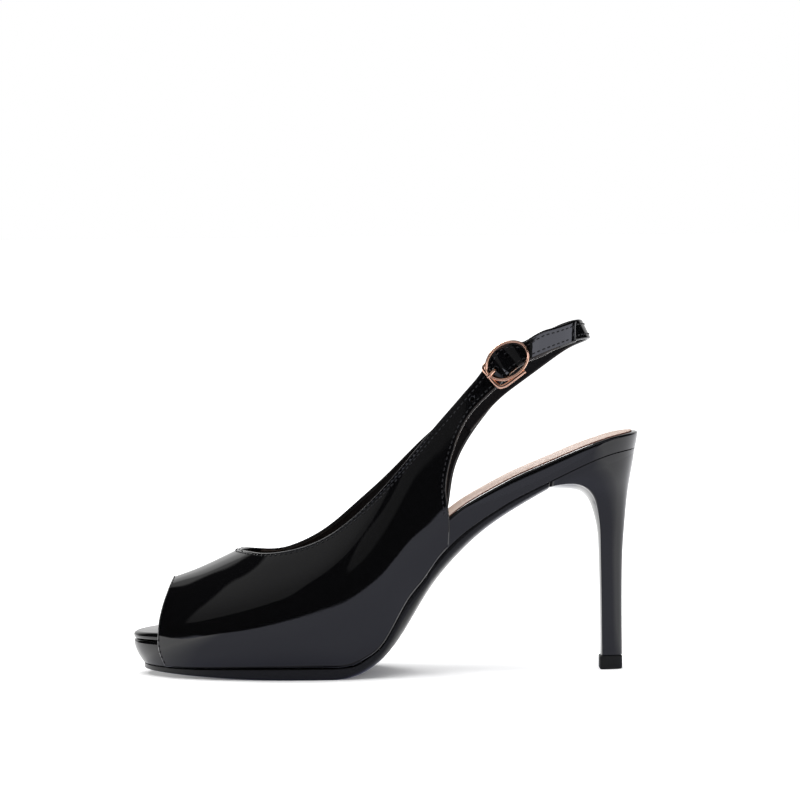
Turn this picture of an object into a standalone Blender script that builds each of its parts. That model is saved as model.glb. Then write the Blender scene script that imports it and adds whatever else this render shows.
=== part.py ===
"""Peep-toe slingback platform pump, the left shoe, as separate closed solids.

The sole pieces are rings of one plan outline stacked at the heights the tables give.  The upper is a
sheet on the last's sections, thickened inward.  All sizes are in millimetres until MM turns them
into metres.  In the drawing frame x runs from the toe tip to the heel, minus y is the lateral side
that carries the buckle, and z is up from the floor.
"""

import math

import bmesh
import bpy
import numpy as np

MM = 0.001

# Driving sizes
SHOE_LENGTH = 211.0
BALL_WIDTH = 80.0
HEEL_HEIGHT = 100.0
INSTEP_HEIGHT = 50.0

# Thin layers and the gaps between pieces
WALL = 1.6
GAP = 0.3
SIDE_PLAY = 0.1
STRAP_WIDTH = 9.4
STRAP_THICKNESS = 1.4
STRAP_LEAN = 7.0
STRAP_PLAY = 0.25
STRAP_CORNER = 0.35
SOCK_THICKNESS = 1.2
SOCK_INSET = 2.1
SOCK_FRONT = 17.0

# Plan outline
TOE_TIP = 0.3
HEEL_BACK = 211.2
BALL_STATION = 75.0
SEAT_STATION = 184.0
TOE_POWER = 2.1
SEAT_POWER = 2.2
TOE_INFLARE = 3.0

# Forefoot that rests on the floor, and the lift of the toe in front of it
FLAT_FROM = 62.0
FLAT_TO = 90.0
TOE_SPRING = 4.2
TOE_SPRING_POWER = 1.7
OUTSOLE_INSET = 4.3
OUTSOLE_ROUND = 1.4
OUTSOLE_END = 172.6
PLATFORM_END = 122.5
PLATFORM_EDGE = 0.8

# Upper
FULLNESS = 0.88
PEEP_FRONT = 10.9
PEEP_TOP_SWEEP = 5.9
PEEP_FOOT_SWEEP = 3.2
THROAT_STATION = 45.2
FEATHER_AT_THROAT = 44.0
REAR_CORNER = 131.5
CORNER_TOP = 117.0
STRAP_TURN = 163.0
STRAP_BACK = 192.4

# Buckle, on the lateral strap; its place is that of the centre bar
BUCKLE_X = 152.6
BUCKLE_Z = 127.6
BUCKLE_TILT = 36.0
BUCKLE_LENGTH = 20.0
BUCKLE_BREADTH = 15.8
RING_AHEAD = 3.4
RING_DROP = 1.2
RING_RADIUS = 1.1
RING_LIFT = 2.1
PLATE_HALF = 4.5
PLATE_THICKNESS = 1.2
PLATE_BELOW = 0.3
BAR_RADIUS = 0.9
BAR_CLEARANCE = 0.7
PRONG_RADIUS = 0.75
TONGUE_BULGE = 2.0
TONGUE_BULGE_ALONG = 5.0
TONGUE_BULGE_ACROSS = 14.0
HOLE_RADIUS = 1.1
PRONG_HOLE_RADIUS = 1.6
HOLE_FROM_BAR = 2.1
HOLE_PITCH = 7.6
HOLE_SLOPE = 51.0
HOLES_BEFORE = 2
HOLES_BEHIND = 1
HOLE_DEPTH = 6.0

# The sling strap on both sides of its fold round the centre bar: distance from the bar, sideways
# shift, and how far the upper layer lies under the top of the fold
FOLD_COLUMNS = ("along", "across", "under")
FOLD_LEAD = ((7.0, 0.0, 1.2), (3.4, 0.0, 0.3))
FOLD_TAIL = ((7.0, -0.3, 1.2), (10.0, -0.9, 1.2))
FOLD_SPREAD = 0.6

# Slot in the fold for the prong: length before and behind the bar, half width, depth and height
SLOT_BEFORE = 6.0
SLOT_BEHIND = 2.8
SLOT_HALF = 1.3
SLOT_DEPTH = 8.0
SLOT_HEIGHT = 3.0

# Place of the drawing's origin in the part's own frame, under the middle of its box
ORIGIN_X = -0.5 * (TOE_TIP + HEEL_BACK)
ORIGIN_Y = 1.2

# One row per section of the sole.  Along is in percent of the length, the half widths in percent
# of the ball width, and the heights in percent of the heel height.
SOLE_COLUMNS = ("along", "lateral", "medial", "footbed", "board")
SOLE_ROWS = (
    (0.0, 47.5, 47.0, 17.8, 4.2),
    (7.0, 47.5, 47.0, 18.7, 4.6),
    (16.6, 48.0, 47.3, 18.8, 4.6),
    (28.4, 49.2, 46.9, 18.4, 4.8),
    (37.9, 49.2, 45.4, 19.0, 5.2),
    (43.6, 47.5, 42.8, 22.4, 6.6),
    (47.9, 45.0, 39.8, 29.2, 8.6),
    (52.6, 41.6, 36.6, 41.0, 11.4),
    (57.3, 38.0, 34.0, 54.2, 12.9),
    (62.6, 35.0, 32.5, 66.4, 12.3),
    (69.2, 33.1, 31.9, 75.6, 10.4),
    (75.8, 32.3, 31.6, 82.8, 9.2),
    (81.8, 32.2, 31.5, 88.1, 8.4),
    (88.2, 32.2, 31.5, 93.7, 7.6),
    (94.8, 32.2, 31.5, 98.2, 7.0),
    (100.0, 32.2, 31.5, 99.8, 6.9),
)

# Underside of the outsole behind the flat: height and edge thickness in percent of the heel height
ARCH_COLUMNS = ("along", "under", "edge")
ARCH_ROWS = (
    (0.0, 0.0, 2.1),
    (9.5, 0.0, 2.6),
    (21.4, 0.0, 4.3),
    (35.0, 0.0, 4.9),
    (FLAT_TO / SHOE_LENGTH * 100.0, 0.0, 4.8),
    (46.2, 3.9, 3.9),
    (49.3, 9.1, 3.3),
    (52.5, 17.4, 3.6),
    (55.7, 28.2, 4.4),
    (58.9, 38.7, 5.4),
    (62.0, 46.8, 5.2),
    (68.4, 59.7, 4.1),
    (74.7, 68.7, 3.1),
    (82.0, 77.2, 2.4),
)

# Sections of the last above the footbed: height of the widest point over the footbed and its
# tuck to the feather edge in percent of the heel height, ridge in percent of the instep height
LAST_COLUMNS = ("along", "widest", "tuck", "ridge")
LAST_ROWS = (
    (0.0, -3.0, 4.0, 64.0),
    (6.0, -3.0, 4.4, 76.6),
    (12.0, -1.2, 4.8, 85.8),
    (17.5, 1.8, 4.8, 96.0),
    (21.4, 3.8, 4.8, 104.0),
    (26.5, 6.6, 4.8, 115.5),
    (32.0, 10.5, 4.8, 126.5),
    (38.5, 15.5, 4.8, 144.0),
    (44.0, 18.5, 4.7, 172.0),
    (49.5, 17.5, 4.5, 214.0),
    (55.5, 15.0, 3.8, 272.0),
    (62.0, 12.0, 3.0, 332.0),
    (70.0, 9.0, 1.2, 364.0),
    (100.0, 6.0, 0.9, 412.0),
)

# Edges of the upper seen from the side, as along and height in percent of length and heel height
TOPLINE_COLUMNS = ("along", "height")
LATERAL_TOPLINE = (
    (23.0, 51.3),
    (26.4, 51.2),
    (31.2, 52.8),
    (37.1, 57.6),
    (43.5, 67.1),
    (49.6, 79.4),
    (59.4, 102.8),
    (68.6, 124.1),
    (72.5, 132.6),
    (74.8, 135.8),
    (78.0, 138.8),
    (82.7, 143.0),
    (87.7, 146.4),
)
MEDIAL_TOPLINE = (
    (23.0, 51.3),
    (25.9, 50.2),
    (29.2, 50.1),
    (34.0, 53.2),
    (37.3, 56.9),
    (43.7, 67.6),
    (50.2, 79.7),
    (56.7, 93.2),
    (62.0, 103.2),
    (69.5, 117.1),
)
LATERAL_REAR = (
    (62.3, 53.4),
    (62.4, 66.0),
    (61.8, 77.3),
    (62.2, 84.5),
    (63.9, 96.9),
    (68.1, 111.6),
    (72.2, 119.8),
    (78.3, 129.9),
    (84.3, 134.8),
    (87.7, 137.2),
)
MEDIAL_REAR = (
    (62.3, 53.4),
    (62.9, 64.0),
    (63.4, 71.0),
    (64.3, 82.0),
    (66.3, 92.1),
    (69.6, 102.6),
    (72.6, 110.5),
)
# Rulings behind the corner: percent along the topline, and height on the rear edge
LATERAL_RULINGS = ((55.5, 53.4), (59.4, 84.0), (63.4, 99.5), (69.0, 119.0), (87.7, 137.2))
MEDIAL_RULINGS = ((55.5, 53.4), (58.6, 82.0), (63.0, 95.0), (69.5, 110.5))

# Middle line of the sling strap from the medial quarter round the heel to the buckle
SLING_COLUMNS = ("along", "side", "height")
SLING_ROWS = (
    (66.1, 1.0, 101.6),
    (69.5, 1.0, 110.0),
    (72.9, 1.0, 117.0),
    (76.4, 1.0, 122.6),
    (82.9, 1.0, 132.0),
    (87.2, 1.0, 137.6),
    (90.5, 0.0, 141.6),
    (87.2, -1.0, 141.5),
    (83.0, -1.0, 138.4),
    (79.0, -1.0, 134.8),
)

# Heel sections from the tip up: front and back points, half width, share of straight side
HEEL_COLUMNS = ("front_x", "front_z", "back_x", "back_z", "half", "straight")
HEEL_ROWS = (
    (196.0, 6.0, 204.0, 6.0, 4.4, 0.15),
    (195.9, 29.0, 204.4, 29.0, 4.7, 0.15),
    (195.6, 48.0, 205.1, 48.0, 5.5, 0.15),
    (195.0, 58.5, 206.4, 59.3, 7.1, 0.16),
    (193.7, 65.4, 207.5, 67.0, 9.4, 0.18),
    (191.5, 71.6, 208.6, 74.8, 12.8, 0.20),
    (188.2, 76.0, 209.5, 80.8, 17.0, 0.23),
    (183.4, 78.2, 210.1, 85.6, 20.6, 0.26),
    (177.6, 78.2, 210.5, 89.2, 22.8, 0.28),
    (173.2, 77.5, 210.6, 91.0, 24.2, 0.30),
)
HEEL_CORNER = 0.18
TIP_FRONT = 194.7
TIP_BACK = 204.3
TIP_HALF = 5.0
TIP_HEIGHT = 5.7

# Mesh steps
SOLE_STEPS = 34
ARCH_MARKS = tuple(float(x) for x in range(86, 146, 4))
UPPER_FRONT_STEPS = 8
UPPER_SIDE_STEPS = 18
LATERAL_REAR_STEPS = 20
MEDIAL_REAR_STEPS = 10
UPPER_ACROSS = 13
STRAP_STEPS = 44
HEEL_STEPS = 12
RING_STEPS = 28
TUBE_STEPS = 8
HOLE_STEPS = 12

LATERAL = -1.0
MEDIAL = 1.0


def clear_scene():
    """Remove whatever objects the file starts with."""
    for item in list(bpy.data.objects):
        bpy.data.objects.remove(item, do_unlink=True)


def material(name, colour, metallic, roughness):
    """A plain principled material."""
    made = bpy.data.materials.new(name)
    made.use_nodes = True
    shader = made.node_tree.nodes["Principled BSDF"]
    shader.inputs["Base Color"].default_value = (*colour, 1.0)
    shader.inputs["Metallic"].default_value = metallic
    shader.inputs["Roughness"].default_value = roughness
    return made


def smooth_curve(knots, values):
    """Natural cubic spline through the rows, held flat beyond both ends."""
    knots = np.asarray(knots, float)
    values = np.asarray(values, float)
    step = np.diff(knots)
    count = len(knots)
    matrix = np.eye(count)
    right = np.zeros(count)
    for i in range(1, count - 1):
        matrix[i, i - 1 : i + 2] = step[i - 1], 2.0 * (step[i - 1] + step[i]), step[i]
        rise = (values[i + 1] - values[i]) / step[i]
        right[i] = 6.0 * (rise - (values[i] - values[i - 1]) / step[i - 1])
    bend = np.linalg.solve(matrix, right)

    def curve(x):
        x = np.clip(x, knots[0], knots[-1])
        i = np.clip(np.searchsorted(knots, x, side="right") - 1, 0, count - 2)
        a = (knots[i + 1] - x) / step[i]
        b = (x - knots[i]) / step[i]
        cubic = (a**3 - a) * bend[i] + (b**3 - b) * bend[i + 1]
        return a * values[i] + b * values[i + 1] + cubic * step[i] ** 2 / 6.0

    return curve


def table_curve(columns, rows, name, scale):
    """One column of a table as a curve along the shoe, in millimetres."""
    at = columns.index(name)
    along = [row[0] / 100.0 * SHOE_LENGTH for row in rows]
    return smooth_curve(along, [row[at] / 100.0 * scale for row in rows])


lateral_width = table_curve(SOLE_COLUMNS, SOLE_ROWS, "lateral", BALL_WIDTH)
medial_width = table_curve(SOLE_COLUMNS, SOLE_ROWS, "medial", BALL_WIDTH)
footbed_top = table_curve(SOLE_COLUMNS, SOLE_ROWS, "footbed", HEEL_HEIGHT)
board_depth = table_curve(SOLE_COLUMNS, SOLE_ROWS, "board", HEEL_HEIGHT)
arch_under = table_curve(ARCH_COLUMNS, ARCH_ROWS, "under", HEEL_HEIGHT)
arch_edge = table_curve(ARCH_COLUMNS, ARCH_ROWS, "edge", HEEL_HEIGHT)
widest_over_footbed = table_curve(LAST_COLUMNS, LAST_ROWS, "widest", HEEL_HEIGHT)
tuck = table_curve(LAST_COLUMNS, LAST_ROWS, "tuck", HEEL_HEIGHT)
ridge_height = table_curve(LAST_COLUMNS, LAST_ROWS, "ridge", INSTEP_HEIGHT)


def footbed_under(x):
    """Underside of the footbed board."""
    return footbed_top(x) - board_depth(x)


def outsole_under(x):
    """Underside of the outsole: toe spring, then flat on the floor, then the arch."""
    lift = TOE_SPRING * np.clip((FLAT_FROM - x) / FLAT_FROM, 0.0, 1.0) ** TOE_SPRING_POWER
    return np.where(x < FLAT_TO, lift, np.maximum(arch_under(x), 0.0))


def outsole_top(x):
    """Top of the outsole; behind the platform it is held just under the footbed."""
    free = outsole_under(x) + arch_edge(x)
    held = footbed_under(x) - GAP
    return np.where(x > PLATFORM_END + 0.5, held, np.minimum(free, held - GAP - PLATFORM_EDGE))


def feather(x):
    """Lower edge of the upper, just over the outsole."""
    return outsole_top(np.minimum(x, REAR_CORNER + 6.0)) + GAP


def widest(x):
    """Height at which the wall stands furthest out."""
    return footbed_top(x) + widest_over_footbed(x)


def inflare(x):
    """Sideways place of the middle line, which turns to the medial side at the toe."""
    return TOE_INFLARE * np.clip(1.0 - x / BALL_STATION, 0.0, 1.0) ** 2


def round_end(share, power):
    """Superellipse quarter: nought at the tip, one where the outline runs straight."""
    return (1.0 - (1.0 - np.clip(share, 0.0, 1.0)) ** power) ** (1.0 / power)


def half_width(x, side, inset, tip, end):
    """Half width of the outline drawn in by the inset, round at the tip and at the heel."""
    base = np.where(side < 0.0, lateral_width(x), medial_width(x)) - inset
    nose = round_end((x - tip) / (BALL_STATION - tip), TOE_POWER)
    if end is None:
        return base * nose
    return base * nose * round_end((end - x) / (end - SEAT_STATION), SEAT_POWER)


def wall_inset(x, z):
    """How far the wall has drawn in at a height below its widest point."""
    top = widest(x)
    return tuck(x) * np.clip((top - z) / (top - feather(x)), 0.0, 1.2) ** 2


def quarter_width(x, side):
    """Half width of the upper's outside at its widest: the outline, one wall and a gap out."""

    def outline(at):
        return half_width(at, side, 0.0, TOE_TIP, None)

    turned = np.minimum(x, STRAP_TURN)
    slope = (outline(turned + 0.5) - outline(turned - 0.5)) / 1.0
    width = outline(turned) + (WALL + GAP + SIDE_PLAY) * np.sqrt(1.0 + slope**2)
    past = np.clip((x - STRAP_TURN) / (STRAP_BACK - STRAP_TURN), 0.0, 1.0)
    return width * np.sqrt(1.0 - past**2)


def tongue_bulge(x, z, side):
    """The lateral strap rises in a ridge over the buckle's centre bar."""
    tilt = math.radians(BUCKLE_TILT)
    along = (x - BUCKLE_X) * math.cos(tilt) + (z - BUCKLE_Z) * math.sin(tilt)
    across = (z - BUCKLE_Z) * math.cos(tilt) - (x - BUCKLE_X) * math.sin(tilt)
    away = (along / TONGUE_BULGE_ALONG) ** 2 + (across / TONGUE_BULGE_ACROSS) ** 2
    return np.where(side < 0.0, TONGUE_BULGE * np.exp(-away), 0.0)


def section_point(x, around, side):
    """A point on the upper's outside.

    Around runs from minus one at the feather edge through nought at the widest point to one at the
    ridge.  Below the widest point the wall tucks in as a parabola, above it it is a superellipse.
    """
    x = np.asarray(x, float)
    around = np.asarray(around, float)
    top = widest(x)
    width = quarter_width(x, side)
    turn = np.clip(around, 0.0, 1.0) * math.pi / 2.0
    low_y = width - tuck(x) * np.minimum(around, 0.0) ** 2
    low_z = top + np.minimum(around, 0.0) * (top - feather(x))
    high_y = width * np.clip(np.cos(turn), 0.0, 1.0) ** FULLNESS
    high_z = top + (ridge_height(x) - top) * np.sin(turn) ** FULLNESS
    z = np.where(around < 0.0, low_z, high_z)
    y = np.where(around < 0.0, low_y, high_y) + tongue_bulge(x, z, side)
    return np.stack([x, inflare(x) + side * y, z], axis=-1)


def around_at(x, z):
    """The place around the section at a given height."""
    top = widest(x)
    share = np.clip((z - top) / (ridge_height(x) - top), 0.0, 1.0)
    high = np.arcsin(share ** (1.0 / FULLNESS)) * 2.0 / math.pi
    low = (z - top) / (top - feather(x))
    return np.where(z < top, np.maximum(low, -1.0), high)


def millimetres(rows):
    """Edge rows in millimetres as two arrays, along and height."""
    along = np.array([row[0] for row in rows]) / 100.0 * SHOE_LENGTH
    height = np.array([row[1] for row in rows]) / 100.0 * HEEL_HEIGHT
    return along, height


def topline(rows, side):
    """The top edge from the throat back, as curves of the length run along it."""
    along, height = millimetres(rows)
    around = around_at(along, height)
    along = np.concatenate([[THROAT_STATION], along])
    signed = np.concatenate([[0.0], 1.0 - around])
    points = section_point(along, 1.0 - signed, side)
    run = np.concatenate([[0.0], np.cumsum(np.linalg.norm(np.diff(points, axis=0), axis=1))])
    knots = np.concatenate([-run[:0:-1], run])
    station = smooth_curve(knots, np.concatenate([along[:0:-1], along]))
    off_ridge = smooth_curve(knots, np.concatenate([-signed[:0:-1], signed]))
    return run[-1], station, off_ridge


def upper_rulings(side):
    """Foot and head of every ruling of one half, as stations and places around the section."""
    rows = LATERAL_TOPLINE if side < 0.0 else MEDIAL_TOPLINE
    rear = LATERAL_REAR if side < 0.0 else MEDIAL_REAR
    pairs = LATERAL_RULINGS if side < 0.0 else MEDIAL_RULINGS
    rear_steps = LATERAL_REAR_STEPS if side < 0.0 else MEDIAL_REAR_STEPS
    length, station, off_ridge = topline(rows, side)
    fine = np.linspace(0.0, length, 2000)
    fine_station = station(fine)

    front = np.linspace(0.0, 1.0, UPPER_FRONT_STEPS + 1)[:-1]
    ridge_from = PEEP_FRONT + PEEP_TOP_SWEEP
    foot_from = PEEP_FRONT + PEEP_FOOT_SWEEP
    head_x = [ridge_from + (THROAT_STATION - ridge_from) * front]
    head_q = [np.ones_like(front)]
    foot_x = [foot_from + (FEATHER_AT_THROAT - foot_from) * front]
    foot_q = [-np.ones_like(front)]

    middle = np.linspace(0.0, 1.0, UPPER_SIDE_STEPS + 1)[:-1]
    corner_run = np.interp(CORNER_TOP, fine_station, fine)
    head_x.append(station(middle * corner_run))
    head_q.append(1.0 - off_ridge(middle * corner_run))
    foot_x.append(FEATHER_AT_THROAT + (REAR_CORNER - FEATHER_AT_THROAT) * middle)
    foot_q.append(-np.ones_like(middle))

    pair_x, pair_z = millimetres(pairs)
    top_x = np.linspace(CORNER_TOP, pair_x[-1], rear_steps + 1)
    run = np.interp(top_x, fine_station, fine)
    head_x.append(station(run))
    head_q.append(1.0 - off_ridge(run))
    rear_x, rear_z = millimetres(rear)
    edge = smooth_curve(rear_z, rear_x)
    height = np.interp(top_x, pair_x, pair_z)
    at = edge(height)
    at[0] = REAR_CORNER
    foot_x.append(at)
    low = around_at(at, height)
    low[0] = -1.0
    foot_q.append(low)
    return [np.concatenate(part) for part in (foot_x, foot_q, head_x, head_q)]


def upper_half(side):
    """Grid of points on one half of the upper, ruling by ruling from the foot to the head."""
    foot_x, foot_q, head_x, head_q = upper_rulings(side)
    across = np.linspace(0.0, 1.0, UPPER_ACROSS + 1)[None, :]
    x = foot_x[:, None] + (head_x - foot_x)[:, None] * across
    q = foot_q[:, None] + (head_q - foot_q)[:, None] * across
    top_sweep = PEEP_TOP_SWEEP * np.sin(np.clip(q, 0.0, 1.0) * math.pi / 2.0) ** 2
    sweep = np.where(q > 0.0, top_sweep, PEEP_FOOT_SWEEP * q**2)
    edge = PEEP_FRONT + sweep
    fade = np.clip(1.0 - np.arange(len(foot_x)) / UPPER_FRONT_STEPS, 0.0, 1.0)[:, None] ** 2
    return section_point(x + (edge - x[:1]) * fade, q, side)


def place(points):
    """Drawing millimetres to metres in the part's own frame."""
    return (np.asarray(points) + np.array([ORIGIN_X, ORIGIN_Y, 0.0])) * MM


def make_object(name, points, faces, look):
    """Mesh object from points in drawing millimetres, welded and turned to face out."""
    mesh = bpy.data.meshes.new(name)
    mesh.from_pydata([tuple(p) for p in place(points)], [], [list(f) for f in faces])
    work = bmesh.new()
    work.from_mesh(mesh)
    bmesh.ops.remove_doubles(work, verts=work.verts, dist=0.000002)
    bmesh.ops.dissolve_degenerate(work, edges=work.edges, dist=0.000002)
    bmesh.ops.recalc_face_normals(work, faces=work.faces)
    work.to_mesh(mesh)
    work.free()
    mesh.materials.append(look)
    made = bpy.data.objects.new(name, mesh)
    bpy.context.collection.objects.link(made)
    return made


def grid_faces(rows, columns, start=0, wrap_columns=False):
    """Quads between neighbouring rows of a grid of points."""
    faces = []
    last = columns if wrap_columns else columns - 1
    for i in range(rows - 1):
        for j in range(last):
            a = start + i * columns + j
            b = start + i * columns + (j + 1) % columns
            faces.append((a, b, b + columns, a + columns))
    return faces


def sole_ring(height, extra, tip_at, end_at, round_back, follow_wall=True, marks=()):
    """Outline of the sole at one level: lateral side to the back, then the medial side home."""
    share = 0.5 - 0.5 * np.cos(np.linspace(0.0, 1.0, SOLE_STEPS + 1) * math.pi)
    if not round_back:
        share = 1.0 - np.cos(np.linspace(0.0, 1.0, SOLE_STEPS + 1) * math.pi / 2.0)
    tip = tip_at
    end = end_at
    if follow_wall:
        tip = tip_at + float(wall_inset(tip_at, height(tip_at)))
        if round_back:
            end = end_at - float(wall_inset(end_at, height(end_at)))
    tip = tip + (extra if follow_wall else 0.0)
    if round_back:
        end = end - extra
    marks = [mark for mark in ARCH_MARKS + tuple(marks) if mark < end - 1.0]
    x = np.sort(np.concatenate([tip + (end - tip) * share, marks]))
    z = height(x)
    inset = extra + (wall_inset(x, z) if follow_wall else 0.0)
    closed = end if round_back else None
    sides = []
    for side in (LATERAL, MEDIAL):
        y = inflare(x) + side * half_width(x, side, inset, tip, closed)
        sides.append(np.stack([x, y, z], axis=-1))
    return np.concatenate([sides[0], sides[1][::-1]])


def stack_rings(name, rings, look):
    """Closed solid from rings of equal count, with ladder caps between the two long sides."""
    count = len(rings[0])
    half = count // 2
    points = np.concatenate(rings)
    faces = grid_faces(len(rings), count, 0, True)
    for base in (0, (len(rings) - 1) * count):
        for i in range(half - 1):
            other = count - 1 - i
            faces.append((base + i, base + i + 1, base + other - 1, base + other))
    return make_object(name, points, faces, look)


def shifted(height, by):
    """A level function moved up by a fixed amount."""
    return lambda x: height(x) + by


def part_way(low, high, share):
    """A level function part of the way from one level to another."""
    return lambda x: low(x) + (high(x) - low(x)) * share


def build_outsole(look):
    """Outsole with a rounded lower edge, from the toe to the heel breast."""
    levels = ((0.0, OUTSOLE_ROUND), (0.12, 0.5), (0.35, 0.0), (0.8, 0.0), (1.0, 0.4))
    rings = []
    for share, draw in levels:
        height = part_way(outsole_under, outsole_top, share)
        inset = OUTSOLE_INSET + draw
        marks = (PLATFORM_END, PLATFORM_END + 0.6)
        rings.append(sole_ring(height, inset, TOE_TIP + inset, OUTSOLE_END, False, False, marks))
    return stack_rings("outsole", rings, look)


def build_platform(look):
    """Platform between the outsole and the footbed, tapering to the floor."""
    low = shifted(outsole_top, GAP)
    high = shifted(footbed_under, -GAP)
    rings = []
    for share, draw in ((0.0, 0.1), (0.3, 0.0), (0.65, 0.0), (0.9, 0.1), (1.0, 0.7)):
        height = part_way(low, high, share)
        rings.append(sole_ring(height, draw, TOE_TIP, PLATFORM_END, False))
    return stack_rings("platform", rings, look)


def build_footbed(look):
    """Wrapped board the foot stands on, with rounded edges all round."""
    rings = []
    for share, draw in ((0.0, 1.0), (0.2, 0.25), (0.5, 0.0), (0.8, 0.25), (0.95, 0.8), (1.0, 1.4)):
        height = part_way(footbed_under, footbed_top, share)
        rings.append(sole_ring(height, draw, TOE_TIP, HEEL_BACK, True))
    return stack_rings("footbed", rings, look)


def build_sock(look):
    """Thin insole sheet on the footbed."""
    rings = []
    for lift, draw in ((GAP, 0.0), (GAP + 0.6, 0.0), (GAP + SOCK_THICKNESS, 0.5)):
        height = shifted(footbed_top, lift)
        inset = SOCK_INSET + draw
        rings.append(sole_ring(height, inset, SOCK_FRONT, HEEL_BACK, True, False))
    return stack_rings("sock", rings, look)


def heel_ring(front, back, half, straight, steps):
    """D-shaped section between a front and a back point, straight at the front and round behind."""
    share = 0.5 - 0.5 * np.cos(np.linspace(0.0, 1.0, steps + 1) * math.pi)
    curve = np.clip((share - straight) / (1.0 - straight), 0.0, 1.0)
    width = half * (1.0 - curve**SEAT_POWER) ** (1.0 / SEAT_POWER)
    corner = np.clip(1.0 - share / (HEEL_CORNER * 0.5), 0.0, 1.0)
    width = width - half * HEEL_CORNER * (1.0 - np.sqrt(1.0 - corner**2))
    line = np.asarray(front) + (np.asarray(back) - np.asarray(front)) * share[:, None]
    sides = [np.stack([line[:, 0], side * width, line[:, 1]], axis=-1) for side in (LATERAL, MEDIAL)]
    return np.concatenate([sides[0], sides[1][::-1]])


def build_heel(look):
    """Slim heel flaring into the seat, its top following the footbed's underside."""
    rows = np.array(HEEL_ROWS)
    knots = np.arange(len(rows), dtype=float)
    curves = [smooth_curve(knots, rows[:, i]) for i in range(len(HEEL_COLUMNS))]
    rings = []
    for at in np.linspace(0.0, len(rows) - 1.0, 2 * len(rows) - 1):
        fx, fz, bx, bz, half, straight = (float(curve(at)) for curve in curves)
        rings.append(heel_ring((fx, fz), (bx, bz), half, straight, HEEL_STEPS))
    rings[0][:, 2] = TIP_HEIGHT + GAP
    top = rings[-1].copy()
    top[:, 2] = footbed_under(top[:, 0]) - GAP
    rings.append(top)
    return stack_rings("heel", rings, look)


def build_heel_tip(look):
    """Top piece under the heel, a little larger than the heel's foot."""
    rings = []
    for z, draw in ((0.0, 0.35), (0.4, 0.0), (TIP_HEIGHT - 0.4, 0.0), (TIP_HEIGHT, 0.3)):
        ring = heel_ring((TIP_FRONT + draw, z), (TIP_BACK - draw, z), TIP_HALF - draw, 0.15, HEEL_STEPS)
        rings.append(ring)
    return stack_rings("heel_tip", rings, look)


def build_upper(look, cutters):
    """Sheet over both halves of the last, thickened inward, with the strap holes cut through."""
    points = []
    faces = []
    for side in (LATERAL, MEDIAL):
        grid = upper_half(side)
        start = sum(len(part) for part in points)
        rows, columns = grid.shape[:2]
        quads = grid_faces(rows, columns, start)
        faces += quads if side < 0.0 else [face[::-1] for face in quads]
        points.append(grid.reshape(-1, 3))
    made = make_object("upper", np.concatenate(points), faces, look)
    middle = sum((p.center for p in made.data.polygons), made.data.polygons[0].center * 0.0)
    middle = middle / len(made.data.polygons)
    outward = sum((p.center - middle).dot(p.normal) for p in made.data.polygons)
    if outward < 0.0:
        made.data.flip_normals()
    shell = made.modifiers.new("wall", "SOLIDIFY")
    shell.thickness = WALL * MM
    shell.offset = -1.0
    shell.use_even_offset = True
    for cutter in cutters:
        cut = made.modifiers.new("hole", "BOOLEAN")
        cut.operation = "DIFFERENCE"
        cut.solver = "EXACT"
        cut.object = cutter
    return made


def strap_depth():
    """How far the sling strap's middle lies inside the upper's outside."""
    return WALL + GAP + 0.5 * STRAP_THICKNESS + STRAP_PLAY


def shell_frame(x, z, side):
    """Point and outward direction of the upper's outside, or of its run on round the heel."""

    def point(at, level):
        return section_point(at, around_at(at, level), side) - bulge_offset(at, level, side)

    step = 0.4
    here = point(x, z)
    run = point(x + step, z) - point(x - step, z)
    rise = point(x, z + step) - point(x, z - step)
    outward = np.cross(run, rise) * -side
    return here, outward / np.linalg.norm(outward, axis=-1)[..., None]


def bulge_offset(x, z, side):
    """The tongue's bulge as a sideways vector."""
    rise = tongue_bulge(x, z, side) * side
    return np.stack([np.zeros_like(rise), rise, np.zeros_like(rise)], axis=-1)


def sling_path():
    """Middle line of the sling strap up to the buckle, one strap depth inside the upper's outside."""
    along = np.array([row[0] for row in SLING_ROWS]) / 100.0 * SHOE_LENGTH
    turn = np.array([row[1] for row in SLING_ROWS])
    height = np.array([row[2] for row in SLING_ROWS]) / 100.0 * HEEL_HEIGHT
    rows = []
    for x, side, z in zip(along, turn, height):
        if side == 0.0:
            rows.append((STRAP_BACK - strap_depth(), 0.0, z))
            continue
        here, outward = shell_frame(np.array(x), np.array(z), side)
        rows.append(tuple(here - outward * strap_depth()))
    return np.array(rows)


def buckle_axes():
    """Buckle frame: middle of the strap's outside, along the strap, across it, and outward."""
    tilt = math.radians(BUCKLE_TILT)
    reach = 0.5 * BUCKLE_LENGTH - RING_RADIUS
    shares = np.array([RING_AHEAD - reach, 0.0, RING_AHEAD + reach])
    spots = shell_frame(BUCKLE_X + shares * math.cos(tilt), BUCKLE_Z + shares * math.sin(tilt), LATERAL)
    along = spots[0][2] - spots[0][0]
    along /= np.linalg.norm(along)
    outward = spots[1][1] - along * np.dot(spots[1][1], along)
    outward /= np.linalg.norm(outward)
    across = np.cross(outward, along)
    near = reach - RING_AHEAD
    at = spots[0][0] + near * along
    return at, along, across * np.sign(across[2]), outward


def in_buckle(rows):
    """Points given along, across and outward of the strap at the buckle, in drawing millimetres."""
    at, along, across, outward = buckle_axes()
    rows = np.asarray(rows, float)
    return at + rows[:, :1] * along + rows[:, 1:2] * across + rows[:, 2:3] * outward


def bar_depth():
    """Depth of the centre bar's axis under the strap's plain outside."""
    fold = BAR_RADIUS + GAP + STRAP_THICKNESS
    return WALL + GAP + fold - TONGUE_BULGE + BAR_CLEARANCE


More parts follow.
